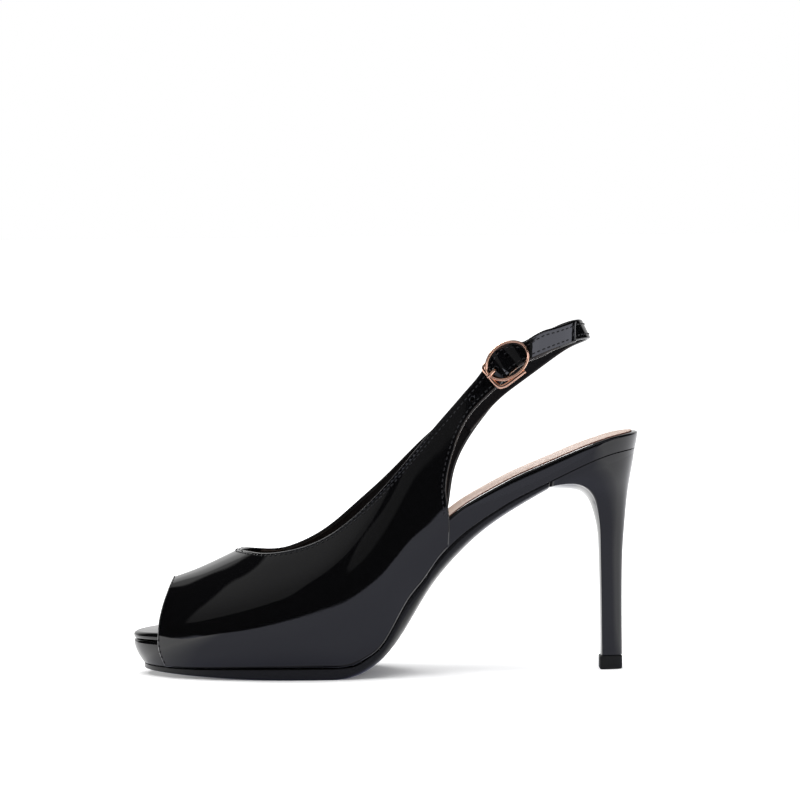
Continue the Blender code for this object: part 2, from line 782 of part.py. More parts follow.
def sweep_points(path, normals, profile):
    """Profile of across and outward offsets carried along a path."""
    tangent = np.gradient(path, axis=0)
    tangent /= np.linalg.norm(tangent, axis=1)[:, None]
    normals = normals - tangent * np.sum(normals * tangent, axis=1)[:, None]
    normals /= np.linalg.norm(normals, axis=1)[:, None]
    across = np.cross(tangent, normals)
    profile = np.asarray(profile)
    offset = across[:, None, :] * profile[None, :, :1] + normals[:, None, :] * profile[None, :, 1:]
    return path[:, None, :] + offset


def tube(name, points, look, closed):
    """Closed solid from a grid of section points, its ends joined or capped."""
    rows, columns = points.shape[:2]
    flat = points.reshape(-1, 3)
    faces = grid_faces(rows, columns, 0, True)
    if closed:
        base = (rows - 1) * columns
        for j in range(columns):
            k = (j + 1) % columns
            faces.append((base + j, base + k, k, j))
    else:
        faces.append(tuple(range(columns))[::-1])
        faces.append(tuple(range((rows - 1) * columns, rows * columns)))
    return make_object(name, flat, faces, look)


def round_profile(radius, steps=TUBE_STEPS):
    """Points of a circle as across and outward offsets."""
    angle = np.arange(steps) / steps * 2.0 * math.pi
    return np.stack([radius * np.cos(angle), radius * np.sin(angle)], axis=-1)


def strap_profile():
    """Strap section with its corners taken off."""
    w = 0.5 * STRAP_WIDTH
    t = 0.5 * STRAP_THICKNESS
    c = STRAP_CORNER
    corners = ((-w, -t + c), (-w + c, -t), (w - c, -t), (w, -t + c))
    return corners + tuple((-a, -b) for a, b in corners)


def build_sling(look, slot):
    """Strap from the medial quarter round the heel, folded over the buckle's centre bar."""
    rows = sling_path()
    fold_radius = BAR_RADIUS + GAP + 0.5 * STRAP_THICKNESS
    over = fold_radius - bar_depth()
    bend = np.linspace(math.pi / 2.0, 1.5 * math.pi, 9)
    ring = [(math.cos(a) * fold_radius, 0.0, math.sin(a) * fold_radius - bar_depth()) for a in bend]
    below = STRAP_THICKNESS + FOLD_SPREAD
    lead = [(along, across, over - under) for along, across, under in FOLD_LEAD]
    tail = [(along, across, over - under - below) for along, across, under in FOLD_TAIL]
    local = in_buckle(lead + ring + tail)
    anchor = np.concatenate([rows, local])
    run = np.concatenate([[0.0], np.cumsum(np.linalg.norm(np.diff(anchor, axis=0), axis=1))])
    curves = [smooth_curve(run, anchor[:, i]) for i in range(3)]
    sling_end = run[len(rows) - 1]
    at = np.concatenate([np.linspace(0.0, sling_end, STRAP_STEPS), run[len(rows) :]])
    path = np.stack([curve(at) for curve in curves], axis=-1)
    tangent = np.gradient(path, axis=0)
    level = np.hypot(tangent[:, 0], tangent[:, 1])
    lean = np.full(len(path), math.tan(math.radians(STRAP_LEAN)))
    outward = np.stack([-tangent[:, 1] / level, tangent[:, 0] / level, lean], axis=-1)
    _, _, across, normal = buckle_axes()
    near = at > run[len(rows)] - 0.001
    turned = np.cross(across, tangent)
    turned /= np.linalg.norm(turned, axis=1)[:, None]
    sign = np.sign(np.sum(turned[near][0] * normal))
    outward = np.where(near[:, None], turned * sign, outward)
    made = tube("sling_strap", sweep_points(path, outward, strap_profile()), look, False)
    cut = made.modifiers.new("slot", "BOOLEAN")
    cut.operation = "DIFFERENCE"
    cut.solver = "EXACT"
    cut.object = slot
    return made


def cutter_box(name, low, high):
    """Box cutter in buckle axes."""
    corners = [(x, y, z) for x in (low[0], high[0]) for y in (low[1], high[1]) for z in (low[2], high[2])]
    faces = ((0, 1, 3, 2), (4, 6, 7, 5), (0, 4, 5, 1), (2, 3, 7, 6), (0, 2, 6, 4), (1, 5, 7, 3))
    made = make_object(name, in_buckle(corners), faces, bpy.data.materials["patent_black"])
    made.hide_render = True
    made.display_type = "WIRE"
    return made


def cutter_hole(name, step, radius):
    """Cylinder cutter through the lateral strap, a number of hole steps from the prong's hole."""
    tilt = math.radians(BUCKLE_TILT)
    slope = math.radians(HOLE_SLOPE)
    x = BUCKLE_X - HOLE_FROM_BAR * math.cos(tilt) + step * HOLE_PITCH * math.cos(slope)
    z = BUCKLE_Z - HOLE_FROM_BAR * math.sin(tilt) + step * HOLE_PITCH * math.sin(slope)
    here, outward = shell_frame(np.array(x), np.array(z), LATERAL)
    path = np.stack([here - HOLE_DEPTH * outward, here + HOLE_DEPTH * outward])
    points = sweep_points(path, np.array([[1.0, 0.0, 0.0]] * 2), round_profile(radius, HOLE_STEPS))
    made = tube(name, points, bpy.data.materials["patent_black"], False)
    made.hide_render = True
    made.display_type = "WIRE"
    return made


def ring_path(count):
    """Oval of the buckle's ring, squarer at the front bar than at the round end."""
    angle = np.arange(count) / count * 2.0 * math.pi
    c = np.cos(angle)
    s = np.sin(angle)
    power = np.where(c < 0.0, 0.62, 1.0)
    x = (0.5 * BUCKLE_LENGTH - RING_RADIUS) * np.sign(c) * np.abs(c) ** power
    y = (0.5 * BUCKLE_BREADTH - RING_RADIUS) * np.sign(s) * np.abs(s) ** power
    return np.stack([x + RING_AHEAD, y - RING_DROP], axis=-1)


def closed_tube(path, normal, profile):
    """Section points of a profile carried round a closed flat path."""
    tangent = np.roll(path, -1, axis=0) - np.roll(path, 1, axis=0)
    tangent /= np.linalg.norm(tangent, axis=1)[:, None]
    across = np.cross(tangent, normal)
    profile = np.asarray(profile)
    offset = across[:, None, :] * profile[None, :, :1] + normal * profile[None, :, 1:]
    return path[:, None, :] + offset


def join(target, pieces):
    """Union the pieces into the target; the pieces stay as hidden cutters."""
    for piece in pieces:
        add = target.modifiers.new("join", "BOOLEAN")
        add.operation = "UNION"
        add.solver = "EXACT"
        add.object = piece
        piece.hide_render = True
        piece.display_type = "WIRE"


def build_buckle(look):
    """Ring lying over the strap, two side plates beside it and the centre bar under it."""
    outward = buckle_axes()[3]
    flat = ring_path(RING_STEPS)
    path = in_buckle(np.concatenate([flat, np.full((len(flat), 1), RING_LIFT)], axis=1))
    ring = tube("buckle_frame", closed_tube(path, outward, round_profile(RING_RADIUS)), look, True)
    pieces = []
    edge = 0.5 * BUCKLE_BREADTH - RING_RADIUS
    for side in (LATERAL, MEDIAL):
        middle = side * edge - RING_DROP
        foot = -bar_depth() - BAR_RADIUS - PLATE_BELOW
        low = (-0.5 * PLATE_HALF, middle - 0.5 * PLATE_THICKNESS, foot)
        high = (1.5 * PLATE_HALF, middle + 0.5 * PLATE_THICKNESS, RING_LIFT)
        pieces.append(cutter_box("plate", low, high))
    ends = in_buckle([(0.0, -edge - RING_DROP, -bar_depth()), (0.0, edge - RING_DROP, -bar_depth())])
    normals = np.array([outward, outward])
    pieces.append(tube("bar", sweep_points(ends, normals, round_profile(BAR_RADIUS)), look, False))
    join(ring, pieces)
    return ring


def build_prong(look):
    """Pin hooked on the centre bar, up through the strap's hole and down onto the front bar."""
    hook = BAR_RADIUS + GAP + PRONG_RADIUS
    axis = -bar_depth()
    turn = np.linspace(-0.9 * math.pi, 0.5 * math.pi, 10)
    rows = [(hook * math.cos(a), 0.0, axis + hook * math.sin(a)) for a in turn]
    rest = RING_LIFT + RING_RADIUS + GAP + PRONG_RADIUS
    through = HOLE_FROM_BAR
    rows += [(0.5 - through, 0.0, -0.5), (-through, 0.0, 0.9), (-through - 0.7, 0.0, 2.2)]
    front = RING_AHEAD + RING_RADIUS - 0.5 * BUCKLE_LENGTH
    rows += [(front + 1.1, 0.0, rest - 0.25), (front, 0.0, rest), (front - 1.2, 0.0, rest - 0.15)]
    path = in_buckle(rows)
    normals = np.tile(buckle_axes()[2], (len(path), 1))
    return tube("buckle_prong", sweep_points(path, normals, round_profile(PRONG_RADIUS)), look, False)


def main():
    clear_scene()
    patent = material("patent_black", (0.012, 0.012, 0.013), 0.0, 0.12)
    sole = material("sole_black", (0.015, 0.015, 0.016), 0.0, 0.45)
    pink = material("sock_pink", (0.82, 0.62, 0.55), 0.0, 0.5)
    gold = material("rose_gold", (0.85, 0.56, 0.42), 1.0, 0.2)
    rubber = material("tip_black", (0.02, 0.02, 0.02), 0.0, 0.6)
    holes = []
    for step in range(-HOLES_BEFORE, HOLES_BEHIND + 1):
        radius = PRONG_HOLE_RADIUS if step == 0 else HOLE_RADIUS
        holes.append(cutter_hole(f"hole_cutter_{step}", step, radius))
    slot_low = (-SLOT_BEFORE, -SLOT_HALF, -SLOT_DEPTH)
    slot_high = (SLOT_BEHIND, SLOT_HALF, SLOT_HEIGHT)
    slot = cutter_box("slot_cutter", slot_low, slot_high)
    build_outsole(sole)
    build_platform(patent)
    build_footbed(patent)
    build_sock(pink)
    build_heel(patent)
    build_heel_tip(rubber)
    build_upper(patent, holes)
    build_sling(patent, slot)
    build_buckle(gold)
    build_prong(gold)


main()
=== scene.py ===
"""Looks of a black patent slingback pump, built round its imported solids.

Every visible piece is a surface worked out with numpy from the last's sections.  Sizes inside the
shape functions are in millimetres of the drawing frame: x from the toe tip to the heel, minus y to
the lateral side that carries the buckle, z up from the floor.  place() turns them into metres.
"""

import math

import bpy
import numpy as np
from bpy.props import FloatProperty, FloatVectorProperty, PointerProperty
from mathutils import Matrix, Vector


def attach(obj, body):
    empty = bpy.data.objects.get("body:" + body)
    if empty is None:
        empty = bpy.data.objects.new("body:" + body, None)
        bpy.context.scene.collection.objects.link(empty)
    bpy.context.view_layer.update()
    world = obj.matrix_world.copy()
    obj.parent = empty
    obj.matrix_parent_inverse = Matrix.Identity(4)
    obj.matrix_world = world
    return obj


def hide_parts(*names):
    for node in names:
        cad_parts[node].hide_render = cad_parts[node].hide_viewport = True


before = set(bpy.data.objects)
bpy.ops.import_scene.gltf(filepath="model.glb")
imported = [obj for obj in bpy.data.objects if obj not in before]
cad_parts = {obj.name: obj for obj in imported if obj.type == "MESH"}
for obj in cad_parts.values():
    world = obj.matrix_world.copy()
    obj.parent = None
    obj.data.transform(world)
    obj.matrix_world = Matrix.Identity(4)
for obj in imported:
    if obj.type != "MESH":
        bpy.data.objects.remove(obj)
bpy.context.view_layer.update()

bl_info = {
    "name": "Patent Slingback Pump",
    "version": (1, 0, 0),
    "blender": (4, 5, 0),
    "location": "3D View > Sidebar > Pump",
    "description": "Builds the leather, lining, stitching, buckle and stage of a slingback pump",
    "category": "Add Mesh",
}

MM = 0.001
LATERAL = -1.0
MEDIAL = 1.0
WHITE = (1.0, 1.0, 1.0, 1.0)

# Driving sizes of the last
SHOE_LENGTH = 211.0
BALL_WIDTH = 80.0
HEEL_HEIGHT = 100.0
INSTEP_HEIGHT = 50.0
GAP = 0.3
SIDE_PLAY = 0.1
WALL = 1.6

# Plan outline
TOE_TIP = 0.3
HEEL_BACK = 211.2
BALL_STATION = 75.0
SEAT_STATION = 184.0
TOE_POWER = 2.1
SEAT_POWER = 2.2
TOE_INFLARE = 3.0
ORIGIN = np.array([-0.5 * (TOE_TIP + HEEL_BACK), 1.2, 0.0])

# Forefoot that rests on the floor, and the layers over it
FLAT_FROM = 62.0
FLAT_TO = 84.0
TOE_SPRING = 2.8
TOE_SPRING_POWER = 1.7
OUTSOLE_INSET = 4.3
OUTSOLE_END = 173.0
OUTSOLE_SEAM = 0.2
OUTSOLE_CHANGE = (84.0, 112.0)
PLATFORM_END = 122.5
PLATFORM_EDGE = 0.8
PLATFORM_STEP = 0.5
FOOTBED_CHANGE = (24.0, 100.0)
SOCK_INSET = 2.5
SOCK_FRONT = 17.0

# Dome of the waist's underside: where it starts and is full, and how it fades towards the heel
WAIST_DOME = 2.1
DOME_FROM = 92.0
DOME_RISE = 22.0
DOME_FADE = 0.45
DOME_FADE_FROM = 135.0
DOME_FADE_SPAN = 38.0

# Drop of the footbed's medial side behind the ball; its half width is a share of the ball width
MEDIAL_DROP = 1.4
DROP_FROM = 100.0
DROP_RISE = 30.0
DROP_BEFORE_BACK = 16.0
DROP_HALF = 0.32

# Wrapped edges: draw-in at the foot, taper, draw-in over the top, shares of the height where the
# foot's round ends and the top's round starts, and steps
FOREFOOT_EDGE = (0.8, 0.0, 0.4, 0.25, 0.88, 12)
WAIST_EDGE = (10.5, 0.0, 0.2, 0.78, 0.95, 12)
PLATFORM_ROLL = (0.1, 0.0, 0.9, 0.1, 0.78, 7)
FOOTBED_ROLL = (1.3, 0.0, 2.1, 0.42, 0.5, 10)
FOOTBED_BAND = (0.2, 0.9, 2.0, 0.03, 0.875, 10)
TIP_EDGE = (0.4, 0.0, 0.4, 0.1, 0.9, 6)
TAPER_POWER = 1.6
SHARP_ANGLE = 50.0

# Edge of the sock as draw-in and lift over the footbed, and shares of its width over its top
SOCK_EDGE = ((0.0, -0.2), (0.0, 0.38), (0.08, 0.47), (0.3, 0.5))
SOCK_SHARES = np.linspace(0.97, 0.03, 26)

# Upper
FULLNESS = 0.88
TUCK_LIMIT = 1.2
PEEP_FRONT = 10.6
PEEP_TOP_SWEEP = 5.9
PEEP_FOOT_SWEEP = 3.2
THROAT_STATION = 45.2
FEATHER_AT_THROAT = 44.0
REAR_CORNER = 131.5
CORNER_TOP = 117.0
STRAP_TURN = 163.0
STRAP_BACK = 192.4

# Sling strap
STRAP_WIDTH = 9.4
STRAP_THICKNESS = 1.4
STRAP_SHY = 0.4
STRAP_LEAN = 7.0
STRAP_LEAN_BACK = 26.0
STRAP_LEAN_REACH = 11.0
STRAP_PLAY = 0.25

# Buckle; its place is that of the centre bar
BUCKLE_X = 152.6
BUCKLE_Z = 127.6
BUCKLE_TILT = 36.0
BUCKLE_LENGTH = 20.0
RING_AHEAD = 3.4
RING_RADIUS = 1.1
RING_LIFT = 2.1
OVAL_AT = (3.9, 0.0)
OVAL_HALF = (9.3, 6.85)
OVAL_BAND = 0.62
OVAL_DEPTH = 0.9
OVAL_GROOVE = 0.16
LOOP_ROWS = (
    (7.3, -7.75), (2.0, -7.75), (-2.6, -7.65), (-4.6, -6.95), (-5.45, -5.4), (-5.75, -1.5),
    (-5.95, 1.8), (-5.75, 3.0), (-4.9, 3.75), (-3.6, 3.95),
)
LOOP_BAND = 0.85
LOOP_DEPTH = 0.8
LOOP_LIFT = 1.6
PLATE_FROM = 0.2
PLATE_TO = 6.8
PLATE_HALF = 0.5
PLATE_ACROSS = (-7.4, 6.9)
BAR_RADIUS = 0.9
BAR_CLEARANCE = 0.7
BAR_SHIFT = 0.6
CAST_SHARP_ANGLE = 60.0
PRONG_RADIUS = 0.75
PRONG_HOOK = (-0.9 * math.pi, 0.5 * math.pi)
PRONG_POINT = 0.55
PRONG_POINT_STEPS = 8
TONGUE_BULGE = 2.0
TONGUE_BULGE_ALONG = 5.0
TONGUE_BULGE_ACROSS = 14.0
HOLE_RADIUS = 0.9
PRONG_HOLE_RADIUS = 1.1
HOLE_FROM_BAR = 2.1
HOLE_PITCH = 7.6
HOLE_SLOPE = 51.0
HOLE_STEPS = (-2, -1, 0, 1)
HOLE_THROUGH = 7.0
HOLE_BLIND = 1.1

# Prong past its hook, as along, across and outward: up through the hole, from the hole, and down
# onto the front bar, from the bar's top
PRONG_RISE = ((0.5, 0.0, -0.5), (0.0, 0.0, 0.9), (-0.6, -0.1, 2.3))
PRONG_REST = ((-4.2, -0.35, -0.1), (-5.6, -0.6, 0.05), (-6.8, -0.75, -0.25))

# One row per section of the sole: along in percent of the length, half widths in percent of the
# ball width, heights in percent of the heel height
SOLE_COLUMNS = ("along", "lateral", "medial", "footbed", "board")
SOLE_ROWS = (
    (0.0, 47.5, 47.0, 17.8, 2.8),
    (7.0, 47.5, 47.0, 18.7, 3.4),
    (16.6, 48.0, 47.3, 18.8, 4.6),
    (28.4, 49.2, 46.9, 18.4, 4.8),
    (37.9, 49.2, 45.4, 19.0, 5.2),
    (43.6, 47.5, 42.8, 22.4, 6.6),
    (47.9, 45.0, 39.8, 29.2, 8.6),
    (52.6, 41.6, 36.6, 41.0, 11.4),
    (57.3, 38.0, 34.0, 54.2, 12.9),
    (62.6, 35.0, 32.5, 66.4, 12.3),
    (69.2, 33.1, 31.9, 75.6, 10.4),
    (75.8, 32.3, 31.6, 82.8, 9.2),
    (81.8, 32.2, 31.5, 88.1, 8.4),
    (88.2, 32.2, 31.5, 93.7, 7.6),
    (94.8, 32.2, 31.5, 98.2, 7.0),
    (100.0, 32.2, 31.5, 99.8, 6.9),
)

# Underside of the outsole and its edge thickness, in percent of the heel height
ARCH_COLUMNS = ("along", "under", "edge")
ARCH_ROWS = (
    (0.0, 0.0, 2.1),
    (9.5, 0.0, 2.6),
    (21.4, 0.0, 4.3),
    (35.0, 0.0, 4.9),
    (39.8, 0.0, 4.9),
    (42.2, 0.4, 4.8),
    (44.0, 1.5, 4.4),
    (46.2, 3.9, 4.7),
    (49.3, 9.1, 5.0),
    (52.5, 17.4, 8.3),
    (55.7, 28.2, 8.7),
    (58.9, 38.7, 8.2),
    (62.0, 46.8, 7.0),
    (68.4, 59.7, 4.1),
    (74.7, 68.7, 3.1),
    (82.0, 77.2, 2.4),
)

# Sections of the last: widest point over the footbed and its tuck in percent of the heel height,
# ridge in percent of the instep height
LAST_COLUMNS = ("along", "widest", "tuck", "ridge")
LAST_ROWS = (
    (0.0, -3.0, 4.0, 64.0),
    (6.0, -3.0, 4.4, 76.6),
    (12.0, -1.2, 4.8, 85.8),
    (17.5, 1.8, 4.8, 96.0),
    (21.4, 3.8, 4.8, 104.0),
    (26.5, 6.6, 4.8, 115.5),
    (32.0, 10.5, 4.8, 126.5),
    (38.5, 15.5, 4.8, 144.0),
    (44.0, 18.5, 4.7, 172.0),
    (49.5, 17.5, 4.5, 214.0),
    (55.5, 15.0, 3.8, 272.0),
    (62.0, 12.0, 3.0, 332.0),
    (70.0, 9.0, 1.2, 364.0),
    (100.0, 6.0, 0.9, 412.0),
)

# Edges of the upper seen from the side, in percent of the length and of the heel height
LATERAL_TOPLINE = (
    (23.0, 52.2), (26.4, 52.1), (31.2, 53.6), (37.1, 57.9), (43.5, 67.1), (49.6, 79.4),
    (59.4, 102.9), (63.1, 111.6), (66.0, 118.5), (68.0, 123.3), (68.8, 125.6), (69.6, 128.6),
    (70.8, 133.2), (72.6, 136.8), (74.8, 137.6), (77.0, 137.9), (78.4, 139.4), (81.1, 142.3),
    (82.7, 143.2), (87.7, 146.4),
)
MEDIAL_TOPLINE = (
    (23.0, 51.3), (25.9, 50.2), (29.2, 50.1), (34.0, 53.2), (37.3, 56.9), (43.7, 67.6),
    (50.2, 79.7), (56.7, 93.2), (62.0, 103.2), (69.5, 117.1),
)
LATERAL_REAR = (
    (62.3, 53.4), (62.4, 66.0), (61.8, 77.3), (62.2, 84.5), (63.9, 96.9), (68.1, 111.6),
    (72.2, 119.8), (78.3, 129.9), (84.3, 134.8), (87.7, 137.2),
)
MEDIAL_REAR = (
    (62.3, 53.4), (62.9, 64.0), (63.4, 71.0), (64.3, 82.0), (66.3, 92.1), (69.6, 102.6),
    (72.6, 110.5),
)

# Rulings behind the corner: percent along the topline, and height on the rear edge
LATERAL_RULINGS = ((55.5, 53.4), (59.4, 84.0), (63.4, 99.5), (69.0, 119.0), (87.7, 137.2))
MEDIAL_RULINGS = ((55.5, 53.4), (58.6, 82.0), (63.0, 95.0), (69.5, 110.5))

# Middle line of the sling strap from the medial quarter round the heel to the buckle: percent of
# the length, side, percent of the heel height
SLING_ROWS = (
    (66.1, 1.0, 101.6),
    (69.5, 1.0, 110.0),
    (72.9, 1.0, 117.0),
    (76.4, 1.0, 122.6),
    (82.9, 1.0, 132.0),
    (87.2, 1.0, 137.6),
    (90.5, 0.0, 141.6),
    (87.2, -1.0, 141.5),
    (83.0, -1.0, 138.4),
    (79.0, -1.0, 134.8),
)

# The strap on both sides of its fold round the centre bar: along, across and depth
FOLD_LEAD = ((7.0, 0.0, 1.2), (3.4, 0.0, 0.3))
FOLD_TAIL = ((7.0, -0.3, 1.2), (10.0, -0.9, 1.2))
FOLD_SPREAD = 0.6

# Heel sections from the tip up: front x and z, back x and z, half width, straight share, bulge
HEEL_ROWS = (
    (195.6, 6.0, 204.3, 6.0, 4.4, 0.15, 0.5),
    (195.5, 29.0, 204.3, 29.0, 4.65, 0.15, 0.5),
    (195.2, 48.0, 204.7, 48.0, 5.9, 0.15, 0.6),
    (194.9, 58.5, 205.5, 59.3, 7.4, 0.16, 0.9),
    (194.0, 65.4, 206.2, 67.0, 9.6, 0.18, 1.4),
    (192.3, 71.6, 207.1, 74.8, 12.9, 0.20, 2.0),
    (188.8, 76.2, 208.1, 80.8, 17.1, 0.23, 2.6),
    (183.6, 78.3, 209.0, 85.6, 20.2, 0.26, 3.0),
    (177.8, 78.2, 209.6, 89.2, 22.0, 0.28, 2.6),
    (173.3, 77.5, 209.8, 91.0, 22.9, 0.30, 1.7),
)
HEEL_CORNER = 0.11
HEEL_BREAST = (0.08, 0.35, 0.65, 0.88, 0.98)
HEEL_TOP_ROUND = 0.4
HEEL_TOP_HALF = 24.85
HEEL_SEAM = 0.05
HEEL_TOP_BACK = 0.3
HEEL_TOP_STEPS = 6
HEEL_SLOPE_STEP = 0.01
TIP_STRAIGHT = 0.15
TIP_FRONT = 194.7
TIP_BACK = 204.3
TIP_HALF = 5.0
TIP_HEIGHT = 5.7

# Mesh steps of the fine surfaces
SOLE_STEPS = 260
UPPER_FRONT_STEPS = 44
UPPER_SIDE_STEPS = 96
LATERAL_REAR_STEPS = 110
MEDIAL_REAR_STEPS = 60
UPPER_ACROSS = 46
RIM_STEPS = 8
STRAP_STEPS = 260
STRAP_ACROSS = 9
STRAP_EDGE_STEPS = 7
HEEL_STEPS = 40
HEEL_LEVELS = 110
RING_STEPS = 120
TOPLINE_STEPS = 4000
TUBE_STEPS = 20
HOLE_ROUND = 28
OVAL_ROUND = 48
LOOP_ROUND = 28
PLATE_ROUND = 40
STITCH_ROWS = 7
STITCH_SIDES = 6
FOLD_STEPS = 9
HOOK_STEPS = 10
LOOP_STEPS = 90
PLATE_STEPS = 16
BAR_STEPS = 12
PRONG_STEPS = 90

# Powers of the buckle's soft sections, and the groove's half width as a share of the band's
OVAL_POWER = 2.2
LOOP_POWER = 2.3
PLATE_POWER = 5.0
GROOVE_SHARE = 0.3

# Stitches: how the thread's width tapers, how it rises and sinks in widths, and where seams stop,
# in mesh steps on the upper and in millimetres on the strap
STITCH_TAPER = 0.35
STITCH_END = 0.02
STITCH_RISE = 0.55
STITCH_SINK = 0.35
STITCH_PROBE = 0.2
SEAM_STOP = 3
REAR_SEAM_FROM = 6
PEEP_SEAM_FROM = 2
TONGUE_SEAM_FROM = 8
STRAP_SEAM_FROM = 6.0
STRAP_SEAM_STOP = 12.0

# Topline, rear edge, rulings and steps behind the corner of each half of the upper
QUARTERS = {
    LATERAL: (LATERAL_TOPLINE, LATERAL_REAR, LATERAL_RULINGS, LATERAL_REAR_STEPS),
    MEDIAL: (MEDIAL_TOPLINE, MEDIAL_REAR, MEDIAL_RULINGS, MEDIAL_REAR_STEPS),
}

# Camera: the point it looks at, where it stands and how far it is rolled
LOOK_AT = np.array([112.3, 0.0, 113.15])
VIEW_AZIMUTH = -1.3
VIEW_ELEVATION = 2.5
VIEW_DISTANCE = 1800.0
VIEW_LENS = 194.4
VIEW_ROLL = -0.5
VIEW_END = 100.0
SENSOR_WIDTH = 36.0

# Lights in metres: their sizes and places, and where the panels aim
FLOOR_HALF = 30.0
FILL_SIZE = (1.6, 1.6)
FILL_AT = (-0.25, -0.25, 1.45)
SIDE_PANEL_SIZE = (0.43, 0.07)
SIDE_PANEL_AT = np.array([172.0, -24.0, 139.0])
SIDE_PANEL_TURN = 0.72
SIDE_PANEL_RISE = 0.11
SIDE_PANEL_AWAY = 0.3
SIDE_PANEL_ASIDE = 0.03
RIM_PANEL_SIZE = (0.15, 0.07)
RIM_PANEL_FROM = (-0.03, 0.24, 0.27)
RIM_PANEL_AT = (0.06, -0.02, 0.085)

# Readings off the table in metres: two ends, and the levels there.  The glow, painted darker near
# the shoe, is by the distance from it; the painted contact shadow, which cuts the glow down, is by
# the distance from the tread; the rest shape the painted reflection of the table that the patent
# mirrors.
RANGE_INPUTS = ("From Min", "From Max", "To Min", "To Max")
FLOOR_RANGES = {
    "painted_shade_glow": (0.12, 0.8, 0.36, 1.05),
    "painted_contact_shadow": (0.7, 1.35, 0.2, 1.0),
    "beyond": (-0.125, -0.135, 0.0, 1.0),
    "left": (-0.11, -0.07, 0.05, 0.66),
    "right": (0.11, 0.2, 0.0, -0.45),
    "front": (-0.045, -0.025, 0.0, 1.0),
    "ball": (-0.01, 0.01, 0.0, 1.0),
    "heel": (0.092, 0.075, 0.0, 1.0),
}
TREAD_SHIFT = (1.0, 0.0, 0.0)
TREAD_SCALE = (25.0, 20.0, 0.0)
TABLE_TOE = 0.106
TABLE_SLANT = 0.5


def linear(code):
    """Linear colour from an sRGB hex code."""
    parts = [int(code[i : i + 2], 16) / 255.0 for i in (0, 2, 4)]
    return tuple(c / 12.92 if c <= 0.04045 else ((c + 0.055) / 1.055) ** 2.4 for c in parts)


# Colours of the painted reflection of the table in the patent's mirror, of the table's light and of
# the side panel
PAINTED_TABLE_REFLECTION = (*linear("8187b1"), 1.0)
TABLE_TINT = (*linear("e6e9fb"), 1.0)
PANEL_TINT = linear("eef0ff")

# Left side of the soft box: the plane's direction, and the sines where the box starts and is full
BOX_SIDE = (0.931, -0.347, -0.111)
BOX_SIDE_ENDS = (-0.6842, -0.6597)


def length(name, about, default, low, high):
    """A length that a user may change, in metres."""
    return FloatProperty(name=name, description=about, default=default, min=low, max=high, unit="LENGTH")


def colour(name, about, code):
    """A colour that a user may change, from its sRGB hex code."""
    return FloatVectorProperty(
        name=name, description=about, default=linear(code), min=0.0, max=1.0, subtype="COLOR"
    )


def strength(name, about, default, high, unit="NONE"):
    """A brightness or a power that a user may change."""
    return FloatProperty(name=name, description=about, default=default, min=0.0, max=high, unit=unit)


class PumpSizes(bpy.types.PropertyGroup):
    """Sizes of the finish that a user would change."""

    edge_round: length("Edge round", "How far the leather's turned edge is rounded", 0.0008, 0.0001, 0.002)
    stitch_pitch: length("Stitch pitch", "Distance from one stitch to the next", 0.0023, 0.001, 0.006)
    stitch_length: length("Stitch length", "Thread that shows in one stitch", 0.0018, 0.0005, 0.005)
    thread_width: length("Thread width", "Thickness of the sewing thread", 0.0006, 0.0001, 0.001)
    stitch_inset: length("Stitch inset", "Seam's distance from the leather's edge", 0.0021, 0.0005, 0.005)
    peep_inset: length("Peep inset", "Seam's distance from the open toe's edge", 0.0011, 0.0005, 0.005)
    sock_crown: length("Sock crown", "Rise of the sock at its middle line", 0.0002, 0.0, 0.004)


class PumpColours(bpy.types.PropertyGroup):
    """Colours of the finishes."""

    patent: colour("Patent", "Leather under the patent film", "060607")
    lining: colour("Lining", "Textile inside the upper", "08080a")
    sock: colour("Sock", "Lining leather under the foot", "b29c8f")
    sock_edge: colour("Sock edge", "Cut edge of the sock", "6a463a")
    gold: colour("Rose gold", "Plating of the buckle", "f0bfa2")
    sole: colour("Sole", "Moulded rubber of the outsole", "0e0e0f")
    tip: colour("Top piece", "Polyurethane under the heel", "191919")
    thread: colour("Thread", "Sewing thread", "141416")
    floor: colour("Floor", "Pale studio floor", "f4f4f4")


class PumpStage(bpy.types.PropertyGroup):
    """Light of the studio."""

    backdrop: strength("Backdrop", "Brightness of the white cloth behind the shoe", 1.0, 5.0)
    room: strength("Room", "Brightness of the dark room round the lights", 0.012, 5.0)
    soft_box: strength("Soft box", "Brightness of the soft box over the toe", 0.9, 10.0)
    side_panel: strength("Side panel", "Small panel on the right of the camera", 0.25, 10.0, "POWER")
    rim_panel: strength("Rim panel", "Small panel behind that lights the edges", 0.45, 10.0, "POWER")
    fill: strength("Fill", "Wide overhead light", 33.0, 200.0, "POWER")
    table: strength("Table", "Brightness of the lit table in the patent's mirror", 1.0, 2.0)


def abreast(*parts):
    """Arrays set side by side along a new last axis."""
    return np.stack(np.broadcast_arrays(*parts), axis=-1)


def share_of(value, start, span):
    """How far a value has passed a start, as a share of the span held between nought and one."""
    return np.clip((value - start) / span, 0.0, 1.0)


def smooth_curve(knots, values):
    """Natural cubic spline through the rows, held flat beyond both ends."""
    knots = np.asarray(knots, float)
    values = np.asarray(values, float)
    step = np.diff(knots)
    count = len(knots)
    matrix = np.eye(count)
    right = np.zeros(count)
    for i in range(1, count - 1):
        matrix[i, i - 1 : i + 2] = step[i - 1], 2.0 * (step[i - 1] + step[i]), step[i]
        rise = (values[i + 1] - values[i]) / step[i]
        right[i] = 6.0 * (rise - (values[i] - values[i - 1]) / step[i - 1])
    bend = np.linalg.solve(matrix, right)

    def curve(x):
        x = np.clip(x, knots[0], knots[-1])
        i = np.clip(np.searchsorted(knots, x, side="right") - 1, 0, count - 2)
        a = (knots[i + 1] - x) / step[i]
        b = (x - knots[i]) / step[i]
        cubic = (a**3 - a) * bend[i] + (b**3 - b) * bend[i + 1]
        return a * values[i] + b * values[i + 1] + cubic * step[i] ** 2 / 6.0

    return curve


